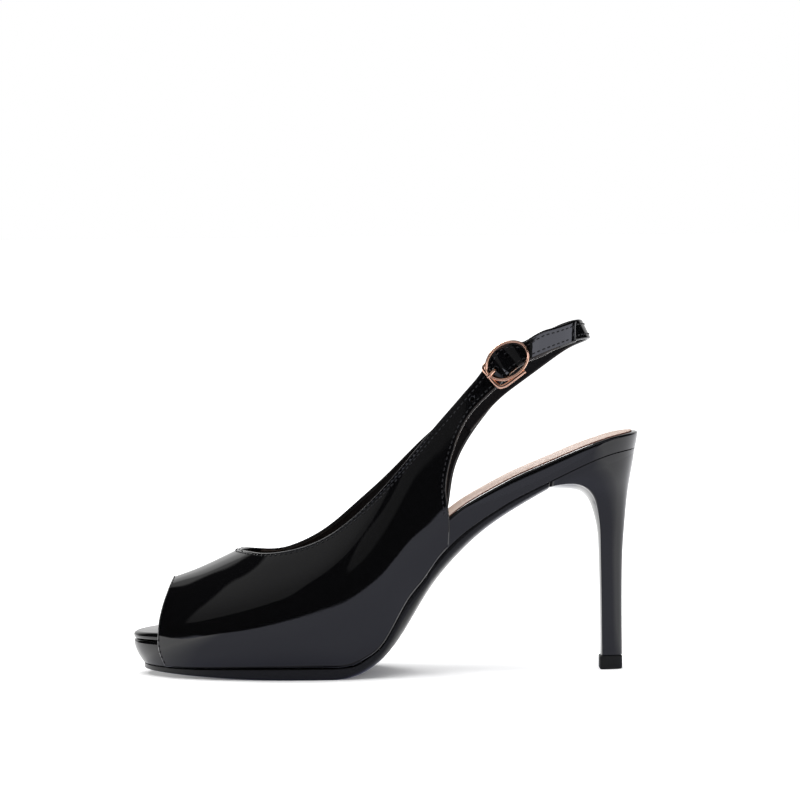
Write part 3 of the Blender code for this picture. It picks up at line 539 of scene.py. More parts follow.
def table_curve(columns, rows, name, scale):
    """One column of a table as a curve along the shoe, in millimetres."""
    at = columns.index(name)
    along = [row[0] / 100.0 * SHOE_LENGTH for row in rows]
    return smooth_curve(along, [row[at] / 100.0 * scale for row in rows])


lateral_width = table_curve(SOLE_COLUMNS, SOLE_ROWS, "lateral", BALL_WIDTH)
medial_width = table_curve(SOLE_COLUMNS, SOLE_ROWS, "medial", BALL_WIDTH)
footbed_top = table_curve(SOLE_COLUMNS, SOLE_ROWS, "footbed", HEEL_HEIGHT)
board_depth = table_curve(SOLE_COLUMNS, SOLE_ROWS, "board", HEEL_HEIGHT)
arch_under = table_curve(ARCH_COLUMNS, ARCH_ROWS, "under", HEEL_HEIGHT)
arch_edge = table_curve(ARCH_COLUMNS, ARCH_ROWS, "edge", HEEL_HEIGHT)
widest_over_footbed = table_curve(LAST_COLUMNS, LAST_ROWS, "widest", HEEL_HEIGHT)
tuck = table_curve(LAST_COLUMNS, LAST_ROWS, "tuck", HEEL_HEIGHT)
ridge_height = table_curve(LAST_COLUMNS, LAST_ROWS, "ridge", INSTEP_HEIGHT)


def footbed_under(x):
    """Underside of the footbed board."""
    return footbed_top(x) - board_depth(x)


def outsole_under(x):
    """Underside of the outsole: toe spring, then flat on the floor, then the arch."""
    lift = TOE_SPRING * np.clip((FLAT_FROM - x) / FLAT_FROM, 0.0, 1.0) ** TOE_SPRING_POWER
    return np.where(x < FLAT_TO, lift, np.maximum(arch_under(x), 0.0))


def outsole_top(x):
    """Top of the outsole; behind the platform it is held just under the footbed."""
    free = outsole_under(x) + arch_edge(x)
    held = footbed_under(x) - GAP
    behind = footbed_under(x) - OUTSOLE_SEAM
    passed = x > PLATFORM_END + PLATFORM_STEP
    return np.where(passed, behind, np.minimum(free, held - GAP - PLATFORM_EDGE))


def outsole_dome(x):
    """Underside of the outsole with the waist domed: lower at its middle line than at its edge."""
    faded = np.clip(1.0 - DOME_FADE * (x - DOME_FADE_FROM) / DOME_FADE_SPAN, 0.0, 1.0)
    return outsole_under(x) - WAIST_DOME * share_of(x, DOME_FROM, DOME_RISE) * faded


FEATHER_STATIONS = np.array([0, 10, 22, 36, 52, 68, 80, 90, 97, 103, 109, 115, 121, 127, 132, 137.5])
feather = smooth_curve(FEATHER_STATIONS, outsole_top(FEATHER_STATIONS) + GAP)


def widest(x):
    """Height at which the wall stands furthest out."""
    return footbed_top(x) + widest_over_footbed(x)


def inflare(x):
    """Sideways place of the middle line, which turns to the medial side at the toe."""
    return TOE_INFLARE * np.clip(1.0 - x / BALL_STATION, 0.0, 1.0) ** 2


def round_end(share, power):
    """Superellipse quarter: nought at the tip, one where the outline runs straight."""
    return (1.0 - (1.0 - np.clip(share, 0.0, 1.0)) ** power) ** (1.0 / power)


def half_width(x, side, inset, tip, end):
    """Half width of the outline drawn in by the inset, round at the tip and at the heel."""
    base = np.where(side < 0.0, lateral_width(x), medial_width(x)) - inset
    nose = round_end((x - tip) / (BALL_STATION - tip), TOE_POWER)
    if end is None:
        return base * nose
    return base * nose * round_end((end - x) / (end - SEAT_STATION), SEAT_POWER)


def wall_inset(x, z):
    """How far the wall has drawn in at a height below its widest point."""
    top = widest(x)
    return tuck(x) * np.clip((top - z) / (top - feather(x)), 0.0, TUCK_LIMIT) ** 2


def quarter_width(x, side):
    """Half width of the upper's outside at its widest: the outline, one wall and a gap out."""

    def outline(at):
        return half_width(at, side, 0.0, TOE_TIP, None)

    turned = np.minimum(x, STRAP_TURN)
    slope = outline(turned + 0.5) - outline(turned - 0.5)
    width = outline(turned) + (WALL + GAP + SIDE_PLAY) * np.sqrt(1.0 + slope**2)
    past = share_of(x, STRAP_TURN, STRAP_BACK - STRAP_TURN)
    return width * np.sqrt(1.0 - past**2)


def tongue_bulge(x, z, side):
    """The lateral strap rises in a ridge over the buckle's centre bar."""
    tilt = math.radians(BUCKLE_TILT)
    along = (x - BUCKLE_X) * math.cos(tilt) + (z - BUCKLE_Z) * math.sin(tilt)
    across = (z - BUCKLE_Z) * math.cos(tilt) - (x - BUCKLE_X) * math.sin(tilt)
    away = (along / TONGUE_BULGE_ALONG) ** 2 + (across / TONGUE_BULGE_ACROSS) ** 2
    return np.where(side < 0.0, TONGUE_BULGE * np.exp(-away), 0.0)


def section_point(x, around, side, bulge=True):
    """A point on the upper's outside.

    Around runs from minus one at the feather edge through nought at the widest point to one at the
    ridge and on to the other side.  Below the widest point the wall tucks in as a parabola, above
    it it is a superellipse.
    """
    x, around = np.broadcast_arrays(np.asarray(x, float), np.asarray(around, float))
    top = widest(x)
    width = quarter_width(x, side)
    turn = np.clip(around, 0.0, 1.5) * math.pi / 2.0
    cosine = np.cos(turn)
    low_y = width - tuck(x) * np.minimum(around, 0.0) ** 2
    low_z = top + np.minimum(around, 0.0) * (top - feather(x))
    high_y = width * np.sign(cosine) * np.abs(cosine) ** FULLNESS
    high_z = top + (ridge_height(x) - top) * np.sin(turn) ** FULLNESS
    z = np.where(around < 0.0, low_z, high_z)
    y = np.where(around < 0.0, low_y, high_y)
    if bulge:
        y = y + tongue_bulge(x, z, side)
    return np.stack([x, inflare(x) + side * y, z], axis=-1)


def around_at(x, z):
    """The place around the section at a given height."""
    top = widest(x)
    share = np.clip((z - top) / (ridge_height(x) - top), 0.0, 1.0)
    high = np.arcsin(share ** (1.0 / FULLNESS)) * 2.0 / math.pi
    low = (z - top) / (top - feather(x))
    return np.where(z < top, np.maximum(low, -1.0), high)


def section_slopes(x, around, side):
    """Change of the surface point per millimetre along and per unit around, by central differences."""
    step_x = 0.08
    step_q = 0.004
    along = section_point(x + step_x, around, side) - section_point(x - step_x, around, side)
    turn = section_point(x, around + step_q, side) - section_point(x, around - step_q, side)
    return along / (2.0 * step_x), turn / (2.0 * step_q)


def unit(vectors):
    """The vectors at length one."""
    size = np.linalg.norm(vectors, axis=-1, keepdims=True)
    return vectors / np.maximum(size, 1e-9)


def section_normal(x, around, side):
    """Outward direction of the upper's outside: the cross product of its two slopes."""
    along, turn = section_slopes(x, around, side)
    return unit(np.cross(along, turn)) * -side


def millimetres(rows):
    """Edge rows in millimetres as two arrays, along and height."""
    table = np.array(rows) / 100.0
    return table[:, 0] * SHOE_LENGTH, table[:, 1] * HEEL_HEIGHT


def run_along(points, axis=0):
    """Length run along one axis of a path or a grid of points."""
    step = np.linalg.norm(np.diff(points, axis=axis), axis=-1)
    start = np.zeros_like(np.take(step, [0], axis=axis))
    return np.concatenate([start, np.cumsum(step, axis=axis)], axis=axis)


def topline(rows, side):
    """The top edge from the throat back, as curves of the length run along it."""
    along, height = millimetres(rows)
    around = around_at(along, height)
    along = np.concatenate([[THROAT_STATION], along])
    signed = np.concatenate([[0.0], 1.0 - around])
    run = run_along(section_point(along, 1.0 - signed, side, False))
    knots = np.concatenate([-run[:0:-1], run])
    station = smooth_curve(knots, np.concatenate([along[:0:-1], along]))
    off_ridge = smooth_curve(knots, np.concatenate([-signed[:0:-1], signed]))
    return run[-1], station, off_ridge


def upper_rulings(side):
    """Foot and head of every ruling of one half, as stations and places around the section."""
    rows, rear, pairs, rear_steps = QUARTERS[side]
    total, station, off_ridge = topline(rows, side)
    fine = np.linspace(0.0, total, TOPLINE_STEPS)
    fine_station = station(fine)

    front = np.linspace(0.0, 1.0, UPPER_FRONT_STEPS + 1)[:-1]
    ridge_from = PEEP_FRONT + PEEP_TOP_SWEEP
    foot_from = PEEP_FRONT + PEEP_FOOT_SWEEP
    head_x = [ridge_from + (THROAT_STATION - ridge_from) * front]
    head_q = [np.ones_like(front)]
    foot_x = [foot_from + (FEATHER_AT_THROAT - foot_from) * front]
    foot_q = [-np.ones_like(front)]

    middle = np.linspace(0.0, 1.0, UPPER_SIDE_STEPS + 1)[:-1]
    corner_run = np.interp(CORNER_TOP, fine_station, fine)
    head_x.append(station(middle * corner_run))
    head_q.append(1.0 - off_ridge(middle * corner_run))
    foot_x.append(FEATHER_AT_THROAT + (REAR_CORNER - FEATHER_AT_THROAT) * middle)
    foot_q.append(-np.ones_like(middle))

    pair_x, pair_z = millimetres(pairs)
    top_x = np.linspace(CORNER_TOP, pair_x[-1], rear_steps + 1)
    run = np.interp(top_x, fine_station, fine)
    head_x.append(station(run))
    head_q.append(1.0 - off_ridge(run))
    rear_x, rear_z = millimetres(rear)
    edge = smooth_curve(rear_z, rear_x)
    height = np.interp(top_x, pair_x, pair_z)
    at = edge(height)
    at[0] = REAR_CORNER
    foot_x.append(at)
    low = around_at(at, height)
    low[0] = -1.0
    foot_q.append(low)
    return [np.concatenate(part) for part in (foot_x, foot_q, head_x, head_q)]


def upper_places(side):
    """Stations and places around the section of one half, ruling by ruling from foot to head."""
    foot_x, foot_q, head_x, head_q = upper_rulings(side)
    across = np.linspace(0.0, 1.0, UPPER_ACROSS + 1)[None, :]
    x = foot_x[:, None] + (head_x - foot_x)[:, None] * across
    q = foot_q[:, None] + (head_q - foot_q)[:, None] * across
    top_sweep = PEEP_TOP_SWEEP * np.sin(np.clip(q, 0.0, 1.0) * math.pi / 2.0) ** 2
    edge = PEEP_FRONT + np.where(q > 0.0, top_sweep, PEEP_FOOT_SWEEP * q**2)
    fade = np.clip(1.0 - np.arange(len(foot_x)) / UPPER_FRONT_STEPS, 0.0, 1.0)[:, None] ** 2
    return x + (edge - x[:1]) * fade, q


def place(points):
    """Drawing millimetres to metres in the part's own frame."""
    return (np.asarray(points) + ORIGIN) * MM


def make_mesh(name, points, faces, looks, picks=None, body="root"):
    """Mesh object from points in drawing millimetres and quads or triangles, smooth shaded."""
    mesh = bpy.data.meshes.new(name)
    mesh.from_pydata(place(points).reshape(-1, 3), [], faces)
    for look in looks:
        mesh.materials.append(look)
    if picks is not None:
        mesh.polygons.foreach_set("material_index", np.asarray(picks, np.int32))
    mesh.shade_smooth()
    mesh.validate()
    made = bpy.data.objects.new(name, mesh)
    bpy.context.scene.collection.objects.link(made)
    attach(made, body)
    return made


def grid_quads(rows, columns, wrap_rows=False, wrap_columns=False):
    """Corner indices of the quads between neighbouring rows and columns of a grid of points."""
    i = np.arange(rows if wrap_rows else rows - 1)[:, None]
    j = np.arange(columns if wrap_columns else columns - 1)[None, :]
    here = i * columns
    below = (i + 1) % rows * columns
    right = (j + 1) % columns
    return abreast(here + j, here + right, below + right, below + j).reshape(-1, 4)


class UpperSheet:
    """The upper's outside as one sheet of two halves sewn at the ridge, and its edge all round."""

    def __init__(self):
        self.places = {side: upper_places(side) for side in (LATERAL, MEDIAL)}
        self.points = {}
        self.normals = {}
        self.index = {}
        start = 0
        for side, (x, q) in self.places.items():
            self.points[side] = section_point(x, q, side)
            self.normals[side] = section_normal(x, q, side)
            self.index[side] = np.arange(x.size).reshape(x.shape) + start
            start += x.size
        shared = slice(0, UPPER_FRONT_STEPS + 1)
        self.index[MEDIAL][shared, -1] = self.index[LATERAL][shared, -1]
        self.count = start
        self.loop = self.edge_loop()

    def edge_loop(self):
        """Indices of the sheet's edge in order: lateral foot, tongue tip, both toplines, peep toe."""
        near = self.index[LATERAL]
        far = self.index[MEDIAL]
        throat = UPPER_FRONT_STEPS
        runs = (
            near[:-1, 0],
            near[-1, :-1],
            near[:throat:-1, -1],
            far[throat:-1, -1],
            far[-1, :0:-1],
            far[:0:-1, 0],
            far[0, :-1],
            near[0, :0:-1],
        )
        return np.concatenate(runs)

    def flat(self, arrays):
        """One row per point of both halves."""
        return np.concatenate([arrays[side].reshape(-1, 3) for side in (LATERAL, MEDIAL)])

    def edge_outward(self, points, normals):
        """Direction in the surface away from the sheet, for each point of its edge.

        It is the cross product of the edge's run and the surface's outward direction.
        """
        edge = points[self.loop]
        run = unit(np.roll(edge, -1, axis=0) - np.roll(edge, 1, axis=0))
        outward = unit(np.cross(run, normals[self.loop]))
        throat = int(np.argmax(self.loop == self.index[LATERAL][UPPER_FRONT_STEPS, -1]))
        return outward * np.sign(outward[throat, 0])

    def drawn_in(self, amount):
        """Points moved in from the edge, so that a round rim of that amount ends on the edge.

        The shift fades to nothing over four times the amount, as the square of the share left.
        """
        points = self.flat(self.points)
        normals = self.flat(self.normals)
        away = np.zeros_like(points)
        away[self.loop] = self.edge_outward(points, normals)
        moved = {}
        reach = 4.0 * amount
        for side in (LATERAL, MEDIAL):
            grid = self.points[side]
            index = self.index[side]
            across = run_along(grid, 1)
            along = run_along(grid)
            parts = (
                (across, away[index[:, :1]]),
                (across[:, -1:] - across, away[index[:, -1:]]),
                (along, away[index[:1, :]]),
                (along[-1:, :] - along, away[index[-1:, :]]),
            )
            shift = np.zeros_like(grid)
            total = np.zeros(grid.shape[:2] + (1,))
            for distance, outward in parts:
                share = np.clip(1.0 - distance / reach, 0.0, 1.0)[..., None] ** 2
                share = share * (np.linalg.norm(outward, axis=-1, keepdims=True) > 0.5)
                shift += share * outward
                total += share
            moved[side] = grid - amount * shift / np.maximum(total, 1.0)
        return self.flat(moved), normals, away[self.loop]

    def quads(self):
        """Quads of the outside, wound to face out."""
        faces = []
        for side in (LATERAL, MEDIAL):
            index = self.index[side]
            quads = np.stack([index[:-1, :-1], index[:-1, 1:], index[1:, 1:], index[1:, :-1]], axis=-1)
            quads = quads.reshape(-1, 4)
            faces.append(quads if side > 0.0 else quads[:, ::-1])
        return np.concatenate(faces)


def shell(sheet, wall, edge_round):
    """Closed wall: outside, inside one wall deeper, and a half-ellipse rim between their edges.

    The rim's point is the middle of the wall plus half the wall times the cosine along the outward
    direction, plus the edge round times the sine along the direction away from the sheet.
    """
    outside, normals, away = sheet.drawn_in(edge_round)
    inside = outside - wall * normals
    loop = sheet.loop
    count = len(loop)
    turn = np.linspace(0.0, math.pi, RIM_STEPS + 1)[1:-1, None, None]
    middle = 0.5 * (outside[loop] + inside[loop])
    rim = middle + 0.5 * wall * np.cos(turn) * normals[loop] + edge_round * np.sin(turn) * away
    points = np.concatenate([outside, inside, rim.reshape(-1, 3)])
    total = len(outside)
    rows = [loop]
    rows += [2 * total + i * count + np.arange(count) for i in range(RIM_STEPS - 1)]
    rows.append(loop + total)
    rows = np.stack(rows)
    ahead = np.roll(rows, -1, axis=1)
    strip = np.stack([rows[:-1], ahead[:-1], ahead[1:], rows[1:]], axis=-1).reshape(-1, 4)
    quads = sheet.quads()
    faces = np.concatenate([quads, strip, quads[:, ::-1] + total])
    picks = np.concatenate([np.zeros(len(quads) + len(strip)), np.ones(len(quads))])
    return points, faces, picks


def signed_volume(points, faces):
    """Volume inside a closed mesh: a sixth of the sum of the corner triple products."""
    corner = points[faces]
    first = np.einsum("ij,ij->i", corner[:, 0], np.cross(corner[:, 1], corner[:, 2]))
    if faces.shape[1] == 4:
        first = first + np.einsum("ij,ij->i", corner[:, 0], np.cross(corner[:, 2], corner[:, 3]))
    return first.sum() / 6.0


def facing_out(points, faces):
    """The faces, turned round if the closed mesh would be inside out."""
    return faces if signed_volume(points, faces) > 0.0 else faces[:, ::-1]


def shell_frame(x, z, side):
    """Point and outward direction of the upper's outside without the tongue's bulge."""

    def point(at, level):
        return section_point(at, around_at(at, level), side, False)

    step = 0.4
    run = point(x + step, z) - point(x - step, z)
    rise = point(x, z + step) - point(x, z - step)
    return point(x, z), unit(np.cross(run, rise)) * -side


def buckle_axes():
    """Buckle frame: its place on the strap's outside, along the strap, across it, and outward."""
    tilt = math.radians(BUCKLE_TILT)
    reach = 0.5 * BUCKLE_LENGTH - RING_RADIUS
    shares = np.array([RING_AHEAD - reach, 0.0, RING_AHEAD + reach])
    spots = shell_frame(BUCKLE_X + shares * math.cos(tilt), BUCKLE_Z + shares * math.sin(tilt), LATERAL)
    along = unit(spots[0][2] - spots[0][0])
    outward = unit(spots[1][1] - along * np.dot(spots[1][1], along))
    across = np.cross(outward, along)
    at = spots[0][0] + (reach - RING_AHEAD) * along
    return at, along, across * np.sign(across[2]), outward


def in_buckle(rows):
    """Points given along, across and outward of the strap at the buckle, in drawing millimetres."""
    at, along, across, outward = buckle_axes()
    rows = np.asarray(rows, float)
    return at + rows[..., :1] * along + rows[..., 1:2] * across + rows[..., 2:3] * outward


def bar_depth():
    """Depth of the centre bar's axis under the strap's plain outside."""
    fold = BAR_RADIUS + GAP + STRAP_THICKNESS
    return WALL + GAP + fold - TONGUE_BULGE + BAR_CLEARANCE


def resample(points, count):
    """Points at even lengths along a smooth curve through the given ones."""
    run = run_along(points)
    at = np.linspace(0.0, run[-1], count)
    return abreast(*[smooth_curve(run, points[:, i])(at) for i in range(3)])


def sweep(path, normals, profile, closed=False):
    """Profile of across and outward offsets carried along a path; one normal may serve all of it."""
    ahead = np.roll(path, -1, axis=0) - np.roll(path, 1, axis=0)
    tangent = unit(ahead if closed else np.gradient(path, axis=0))
    normals = unit(normals - tangent * np.sum(normals * tangent, axis=1, keepdims=True))
    across = np.cross(tangent, normals)
    offset = across[:, None, :] * profile[None, :, :1] + normals[:, None, :] * profile[None, :, 1:]
    return path[:, None, :] + offset


def closed_tube(grid):
    """Points, quads and end triangles of a tube with a point in the middle of each end, facing out."""
    rows, columns = grid.shape[:2]
    middle = rows * columns
    base = middle - columns
    points = np.concatenate([grid.reshape(-1, 3), grid[[0, -1]].mean(axis=1)])
    quads = grid_quads(rows, columns, wrap_columns=True)
    j = np.arange(columns)
    k = (j + 1) % columns
    ends = np.concatenate([abreast(j, k, middle), abreast(base + k, base + j, middle + 1)])
    if signed_volume(points, np.concatenate([quads, ends[:, [0, 1, 2, 2]]])) < 0.0:
        return points, quads[:, ::-1], ends[:, ::-1]
    return points, quads, ends


def joined(parts):
    """Points and faces of several meshes as one; a part is its points and its arrays of faces."""
    points = []
    faces = []
    start = 0
    for corners, *groups in parts:
        points.append(corners)
        for group in groups:
            faces += (group + start).tolist()
        start += len(corners)
    return np.concatenate(points), faces


def solid_tube(name, grid, looks, picks=None):
    """Closed mesh of a tube of rings with its ends capped; the picks are one row's looks."""
    points, quads, ends = closed_tube(grid)
    chosen = None
    if picks is not None:
        chosen = np.concatenate([np.tile(picks, len(grid) - 1), np.zeros(len(ends))])
    return make_mesh(name, points, quads.tolist() + ends.tolist(), looks, chosen)


def soft_box_profile(half_wide, half_thick, power, steps):
    """Superellipse as across and outward offsets: round at a power of two, a soft box above it."""
    angle = np.arange(steps) / steps * 2.0 * math.pi
    cosine = np.cos(angle)
    sine = np.sin(angle)
    across = half_wide * np.sign(cosine) * np.abs(cosine) ** (2.0 / power)
    return abreast(across, half_thick * np.sign(sine) * np.abs(sine) ** (2.0 / power))


def round_profile(radius, steps=TUBE_STEPS):
    """Circle as across and outward offsets."""
    return soft_box_profile(radius, radius, 2.0, steps)


def strap_section(half_wide, half_thick, across_steps, end_steps):
    """Strap section: flat faces of many steps and half-round edges, as across and outward offsets."""
    flat = np.linspace(-1.0, 1.0, across_steps) * (half_wide - half_thick)
    turn = np.linspace(-0.5 * math.pi, 0.5 * math.pi, end_steps + 2)[1:-1]
    edge = half_wide - half_thick + half_thick * np.cos(turn)
    rise = half_thick * np.sin(turn)
    face = np.full(across_steps, half_thick)
    across = np.concatenate([flat, edge, flat[::-1], -edge])
    return abreast(across, np.concatenate([-face, rise, face, rise[::-1]]))


def strap_depth():
    """How far the sling strap's middle lies inside the upper's outside."""
    return WALL + GAP + 0.5 * STRAP_THICKNESS + STRAP_PLAY


def sling_rows():
    """Middle line of the sling strap up to the buckle, one strap depth inside the upper's outside."""
    rows = []
    for along, side, height in SLING_ROWS:
        x = along / 100.0 * SHOE_LENGTH
        z = height / 100.0 * HEEL_HEIGHT
        if side == 0.0:
            rows.append((STRAP_BACK - strap_depth(), 0.0, z))
            continue
        here, outward = shell_frame(np.array(x), np.array(z), side)
        rows.append(tuple(here - outward * strap_depth()))
    return np.array(rows)


def sling_course():
    """Path of the strap round the heel and the centre bar, outward directions and lengths run.

    Round the heel the outward direction is level and square to the path, leaning back by a bell
    curve of the distance from the back; at the buckle it turns to stand on the strap.
    """
    rows = sling_rows()
    radius = BAR_RADIUS + GAP + 0.5 * STRAP_THICKNESS
    over = radius - bar_depth()
    bend = np.linspace(0.5 * math.pi, 1.5 * math.pi, FOLD_STEPS)
    lead = np.array([(along, across, over - under) for along, across, under in FOLD_LEAD])
    ring = abreast(np.cos(bend) * radius, 0.0, np.sin(bend) * radius - bar_depth())
    below = over - STRAP_THICKNESS - FOLD_SPREAD
    tail = np.array([(along, across, below - under) for along, across, under in FOLD_TAIL])
    anchor = np.concatenate([rows, in_buckle(np.concatenate([lead, ring, tail]))])
    run = run_along(anchor)
    at = np.linspace(0.0, run[-1], STRAP_STEPS)
    path = resample(anchor, STRAP_STEPS)
    tangent = np.gradient(path, axis=0)
    level = np.hypot(tangent[:, 0], tangent[:, 1])
    from_back = (at - run[np.argmax(rows[:, 0])]) / STRAP_LEAN_REACH
    lean = STRAP_LEAN + (STRAP_LEAN_BACK - STRAP_LEAN) * np.exp(-(from_back**2))
    outward = unit(abreast(-tangent[:, 1] / level, tangent[:, 0] / level, np.tan(np.radians(lean))))
    _, _, across, normal = buckle_axes()
    turned = unit(np.cross(across, tangent))
    start = run[len(rows) - 1]
    turned = turned * np.sign(turned[np.argmax(at > start)] @ normal)
    share = share_of(at, start, run[len(rows)] - start)[:, None]
    return path, unit(outward * (1.0 - share) + turned * share), at, run[len(rows)]


def sole_stations(tip, end, round_back):
    """Stations from the tip to the end, close together where the outline turns."""
    share = np.linspace(0.0, 1.0, SOLE_STEPS + 1)
    if round_back:
        return tip + (end - tip) * (0.5 - 0.5 * np.cos(share * math.pi))
    return tip + (end - tip) * (1.0 - np.cos(share * math.pi / 2.0))


def both_sides(x, near, far, z):
    """Closed ring of points: along the lateral side to the back, then along the medial side home."""
    return np.concatenate([abreast(x, near, z), abreast(x, far, z)[::-1]])


def sole_ring(height, draw, tip_at, end_at, round_back, follow_wall=True):
    """Outline of the sole at one level.

    The draw-in is a function of the station; at the tip and at a round back it also shortens the
    outline.
    """

    def inset_at(x):
        x = np.asarray(x, float)
        return draw(x) + (wall_inset(x, height(x)) if follow_wall else 0.0)

    tip = tip_at + float(inset_at(tip_at))
    end = end_at - float(inset_at(end_at)) if round_back else end_at
    x = sole_stations(tip, end, round_back)
    closed = end if round_back else None
    near, far = (
        inflare(x) + side * half_width(x, side, inset_at(x), tip, closed) for side in (LATERAL, MEDIAL)
    )
    return both_sides(x, near, far, height(x))


def medial_drop(ring):
    """How far a ring over the footbed lies lower on the medial side, behind the ball."""
    x, y = ring[:, 0], ring[:, 1]
    ramp = share_of(x, DROP_FROM, DROP_RISE) * share_of(HEEL_BACK - x, 0.0, DROP_BEFORE_BACK)
    return MEDIAL_DROP * ramp * np.clip(0.5 + 0.5 * y / (DROP_HALF * BALL_WIDTH), 0.0, 1.0)


def sole_layer(name, levels, edges, change, inset, span, round_back, follow_wall, look, drop=0.0):
    """Closed layer of the sole between a low and a high level.

    Its edge has one profile at the front and another at the rear, and passes from the first to the
    second between the two stations of the change.  A profile is rows of height share and draw-in.
    """
    low, high = levels

    def passed(x):
        return share_of(x, change[0], change[1] - change[0])

    rings = []
    for (share_a, draw_a), (share_b, draw_b) in zip(*edges):

        def level(x, a=share_a, b=share_b):
            return low(x) + (high(x) - low(x)) * (a + (b - a) * passed(x))

        def draw(x, a=draw_a, b=draw_b):
            return inset + a + (b - a) * passed(x)

        ring = sole_ring(level, draw, *span, round_back, follow_wall)
        ring[:, 2] -= drop * share_b * medial_drop(ring)
        rings.append(ring)
    return ring_stack(name, rings, [look])


def ring_stack(name, rings, looks, picks=None):
    """Closed mesh from rings of equal count, with ladder caps between the two long sides."""
    rings = np.stack(rings)
    levels, count = rings.shape[:2]
    points = rings.reshape(-1, 3)
    walls = grid_quads(levels, count, wrap_columns=True)
    i = np.arange(count // 2 - 1)
    cap = abreast(i, i + 1, count - 2 - i, count - 1 - i)
    faces = np.concatenate([walls, cap[:, ::-1], cap + (levels - 1) * count])
    chosen = None
    if picks is not None:
        chosen = np.concatenate([np.repeat(picks, count), np.zeros(2 * len(cap))])
    made = make_mesh(name, points, facing_out(points, faces).tolist(), looks, chosen)
    made.data.set_sharp_from_angle(angle=math.radians(SHARP_ANGLE))
    return made


def shifted(height, by):
    """A level function moved up by a fixed amount."""
    return lambda x: height(x) + by


def edge_profile(foot, taper, crown, low, high, steps):
    """Shares of the height and draw-ins of a wrapped edge.

    A quarter ellipse at the foot, a slightly bowed taper up to the widest line, and a quarter
    ellipse over the top.
    """
    turn = np.linspace(0.0, 0.5 * math.pi, steps)
    below = abreast(low * (1.0 - np.cos(turn)), taper + foot * (1.0 - np.sin(turn)))
    rise = np.linspace(0.0, 1.0, steps + 1)[1:-1]
    side = abreast(low + (high - low) * rise, taper * (1.0 - rise) ** TAPER_POWER)
    above = abreast(high + (1.0 - high) * np.sin(turn), crown * (1.0 - np.cos(turn)))
    return np.concatenate([below, side, above])


def heel_ring(front, back, half, straight, bulge=(0.0, 0.0)):
    """D-shaped section between a front and a back point.

    Half of it runs over the breast from the middle, round a small elliptic corner, straight along
    the side and on as a superellipse to the back; the other half is its mirror image.  The breast
    swells by the bulge, a parabola over its width.
    """
    share = 0.5 - 0.5 * np.cos(np.linspace(0.0, 1.0, HEEL_STEPS + 1) * math.pi)
    curve = share_of(share, straight, 1.0 - straight)
    width = half * (1.0 - curve**SEAT_POWER) ** (1.0 / SEAT_POWER)
    corner = np.clip(1.0 - share / (HEEL_CORNER * 0.5), 0.0, 1.0)
    width = width - half * HEEL_CORNER * (1.0 - np.sqrt(1.0 - corner**2))
    breast = np.array(HEEL_BREAST)
    width = np.concatenate([width[0] * breast, width])
    share = np.concatenate([np.zeros(len(breast)), share])
    line = np.asarray(front) + (np.asarray(back) - np.asarray(front)) * share[:, None]
    line[: len(breast)] += (1.0 - breast[:, None] ** 2) * np.asarray(bulge)
    return both_sides(line[:, 0], LATERAL * width, MEDIAL * width, line[:, 1])


def oval_ring():
    """The buckle's ring: an ellipse round which a narrow band is carried, grooved along its face."""
    angle = np.arange(RING_STEPS) / RING_STEPS * 2.0 * math.pi
    along = OVAL_AT[0] + OVAL_HALF[0] * np.cos(angle)
    across = OVAL_AT[1] + OVAL_HALF[1] * np.sin(angle)
    profile = soft_box_profile(OVAL_BAND, OVAL_DEPTH, OVAL_POWER, OVAL_ROUND)
    groove = OVAL_GROOVE * np.exp(-((profile[:, 0] / (GROOVE_SHARE * OVAL_BAND)) ** 2))
    profile[:, 1] -= np.where(profile[:, 1] > 0.0, groove, 0.0)
    grid = sweep(in_buckle(abreast(along, across, RING_LIFT)), buckle_axes()[3], profile, True)
    points = grid.reshape(-1, 3)
    return points, facing_out(points, grid_quads(*grid.shape[:2], True, True))


def buckle_loop():
    """Flat bar under the ring: along the lower side, round a corner, and across the strap in front."""
    rows = np.array([(along, across, LOOP_LIFT) for along, across in LOOP_ROWS])
    profile = soft_box_profile(LOOP_BAND, LOOP_DEPTH, LOOP_POWER, LOOP_ROUND)
    return sweep(resample(in_buckle(rows), LOOP_STEPS), buckle_axes()[3], profile)


def buckle_plate(across):
    """Plate at one side that carries the centre bar: a soft box section carried along the strap."""
    middle = 0.5 * (LOOP_LIFT - bar_depth() - BAR_RADIUS - GAP)
    rows = np.array([(along, across, middle) for along in (PLATE_FROM, PLATE_TO)])
    profile = soft_box_profile(PLATE_HALF, LOOP_LIFT - middle, PLATE_POWER, PLATE_ROUND)
    return sweep(resample(in_buckle(rows), PLATE_STEPS), buckle_axes()[3], profile)


def centre_bar():
    """Round bar across the strap from plate to plate."""
    ends = in_buckle([(BAR_SHIFT, across, -bar_depth()) for across in PLATE_ACROSS])
    return sweep(resample(ends, BAR_STEPS), buckle_axes()[3], round_profile(BAR_RADIUS))


def buckle_pin():
    """Prong: hooked round the centre bar, up through the hole and down onto the front bar."""
    hook = BAR_RADIUS + GAP + PRONG_RADIUS
    turn = np.linspace(*PRONG_HOOK, HOOK_STEPS)
    hooked = abreast(hook * np.cos(turn), 0.0, hook * np.sin(turn) - bar_depth())
    rise = np.array(PRONG_RISE) - (HOLE_FROM_BAR, 0.0, 0.0)
    rest = np.array(PRONG_REST) + (0.0, 0.0, LOOP_LIFT + LOOP_DEPTH + PRONG_RADIUS)
    path = resample(in_buckle(np.concatenate([hooked, rise, rest])), PRONG_STEPS)
    last = PRONG_STEPS - 1
    slim = np.interp(np.arange(PRONG_STEPS), [0, last - PRONG_POINT_STEPS, last], [1.0, 1.0, PRONG_POINT])
    grid = sweep(path, buckle_axes()[2], round_profile(PRONG_RADIUS))
    return path[:, None, :] + (grid - path[:, None, :]) * slim[:, None, None]


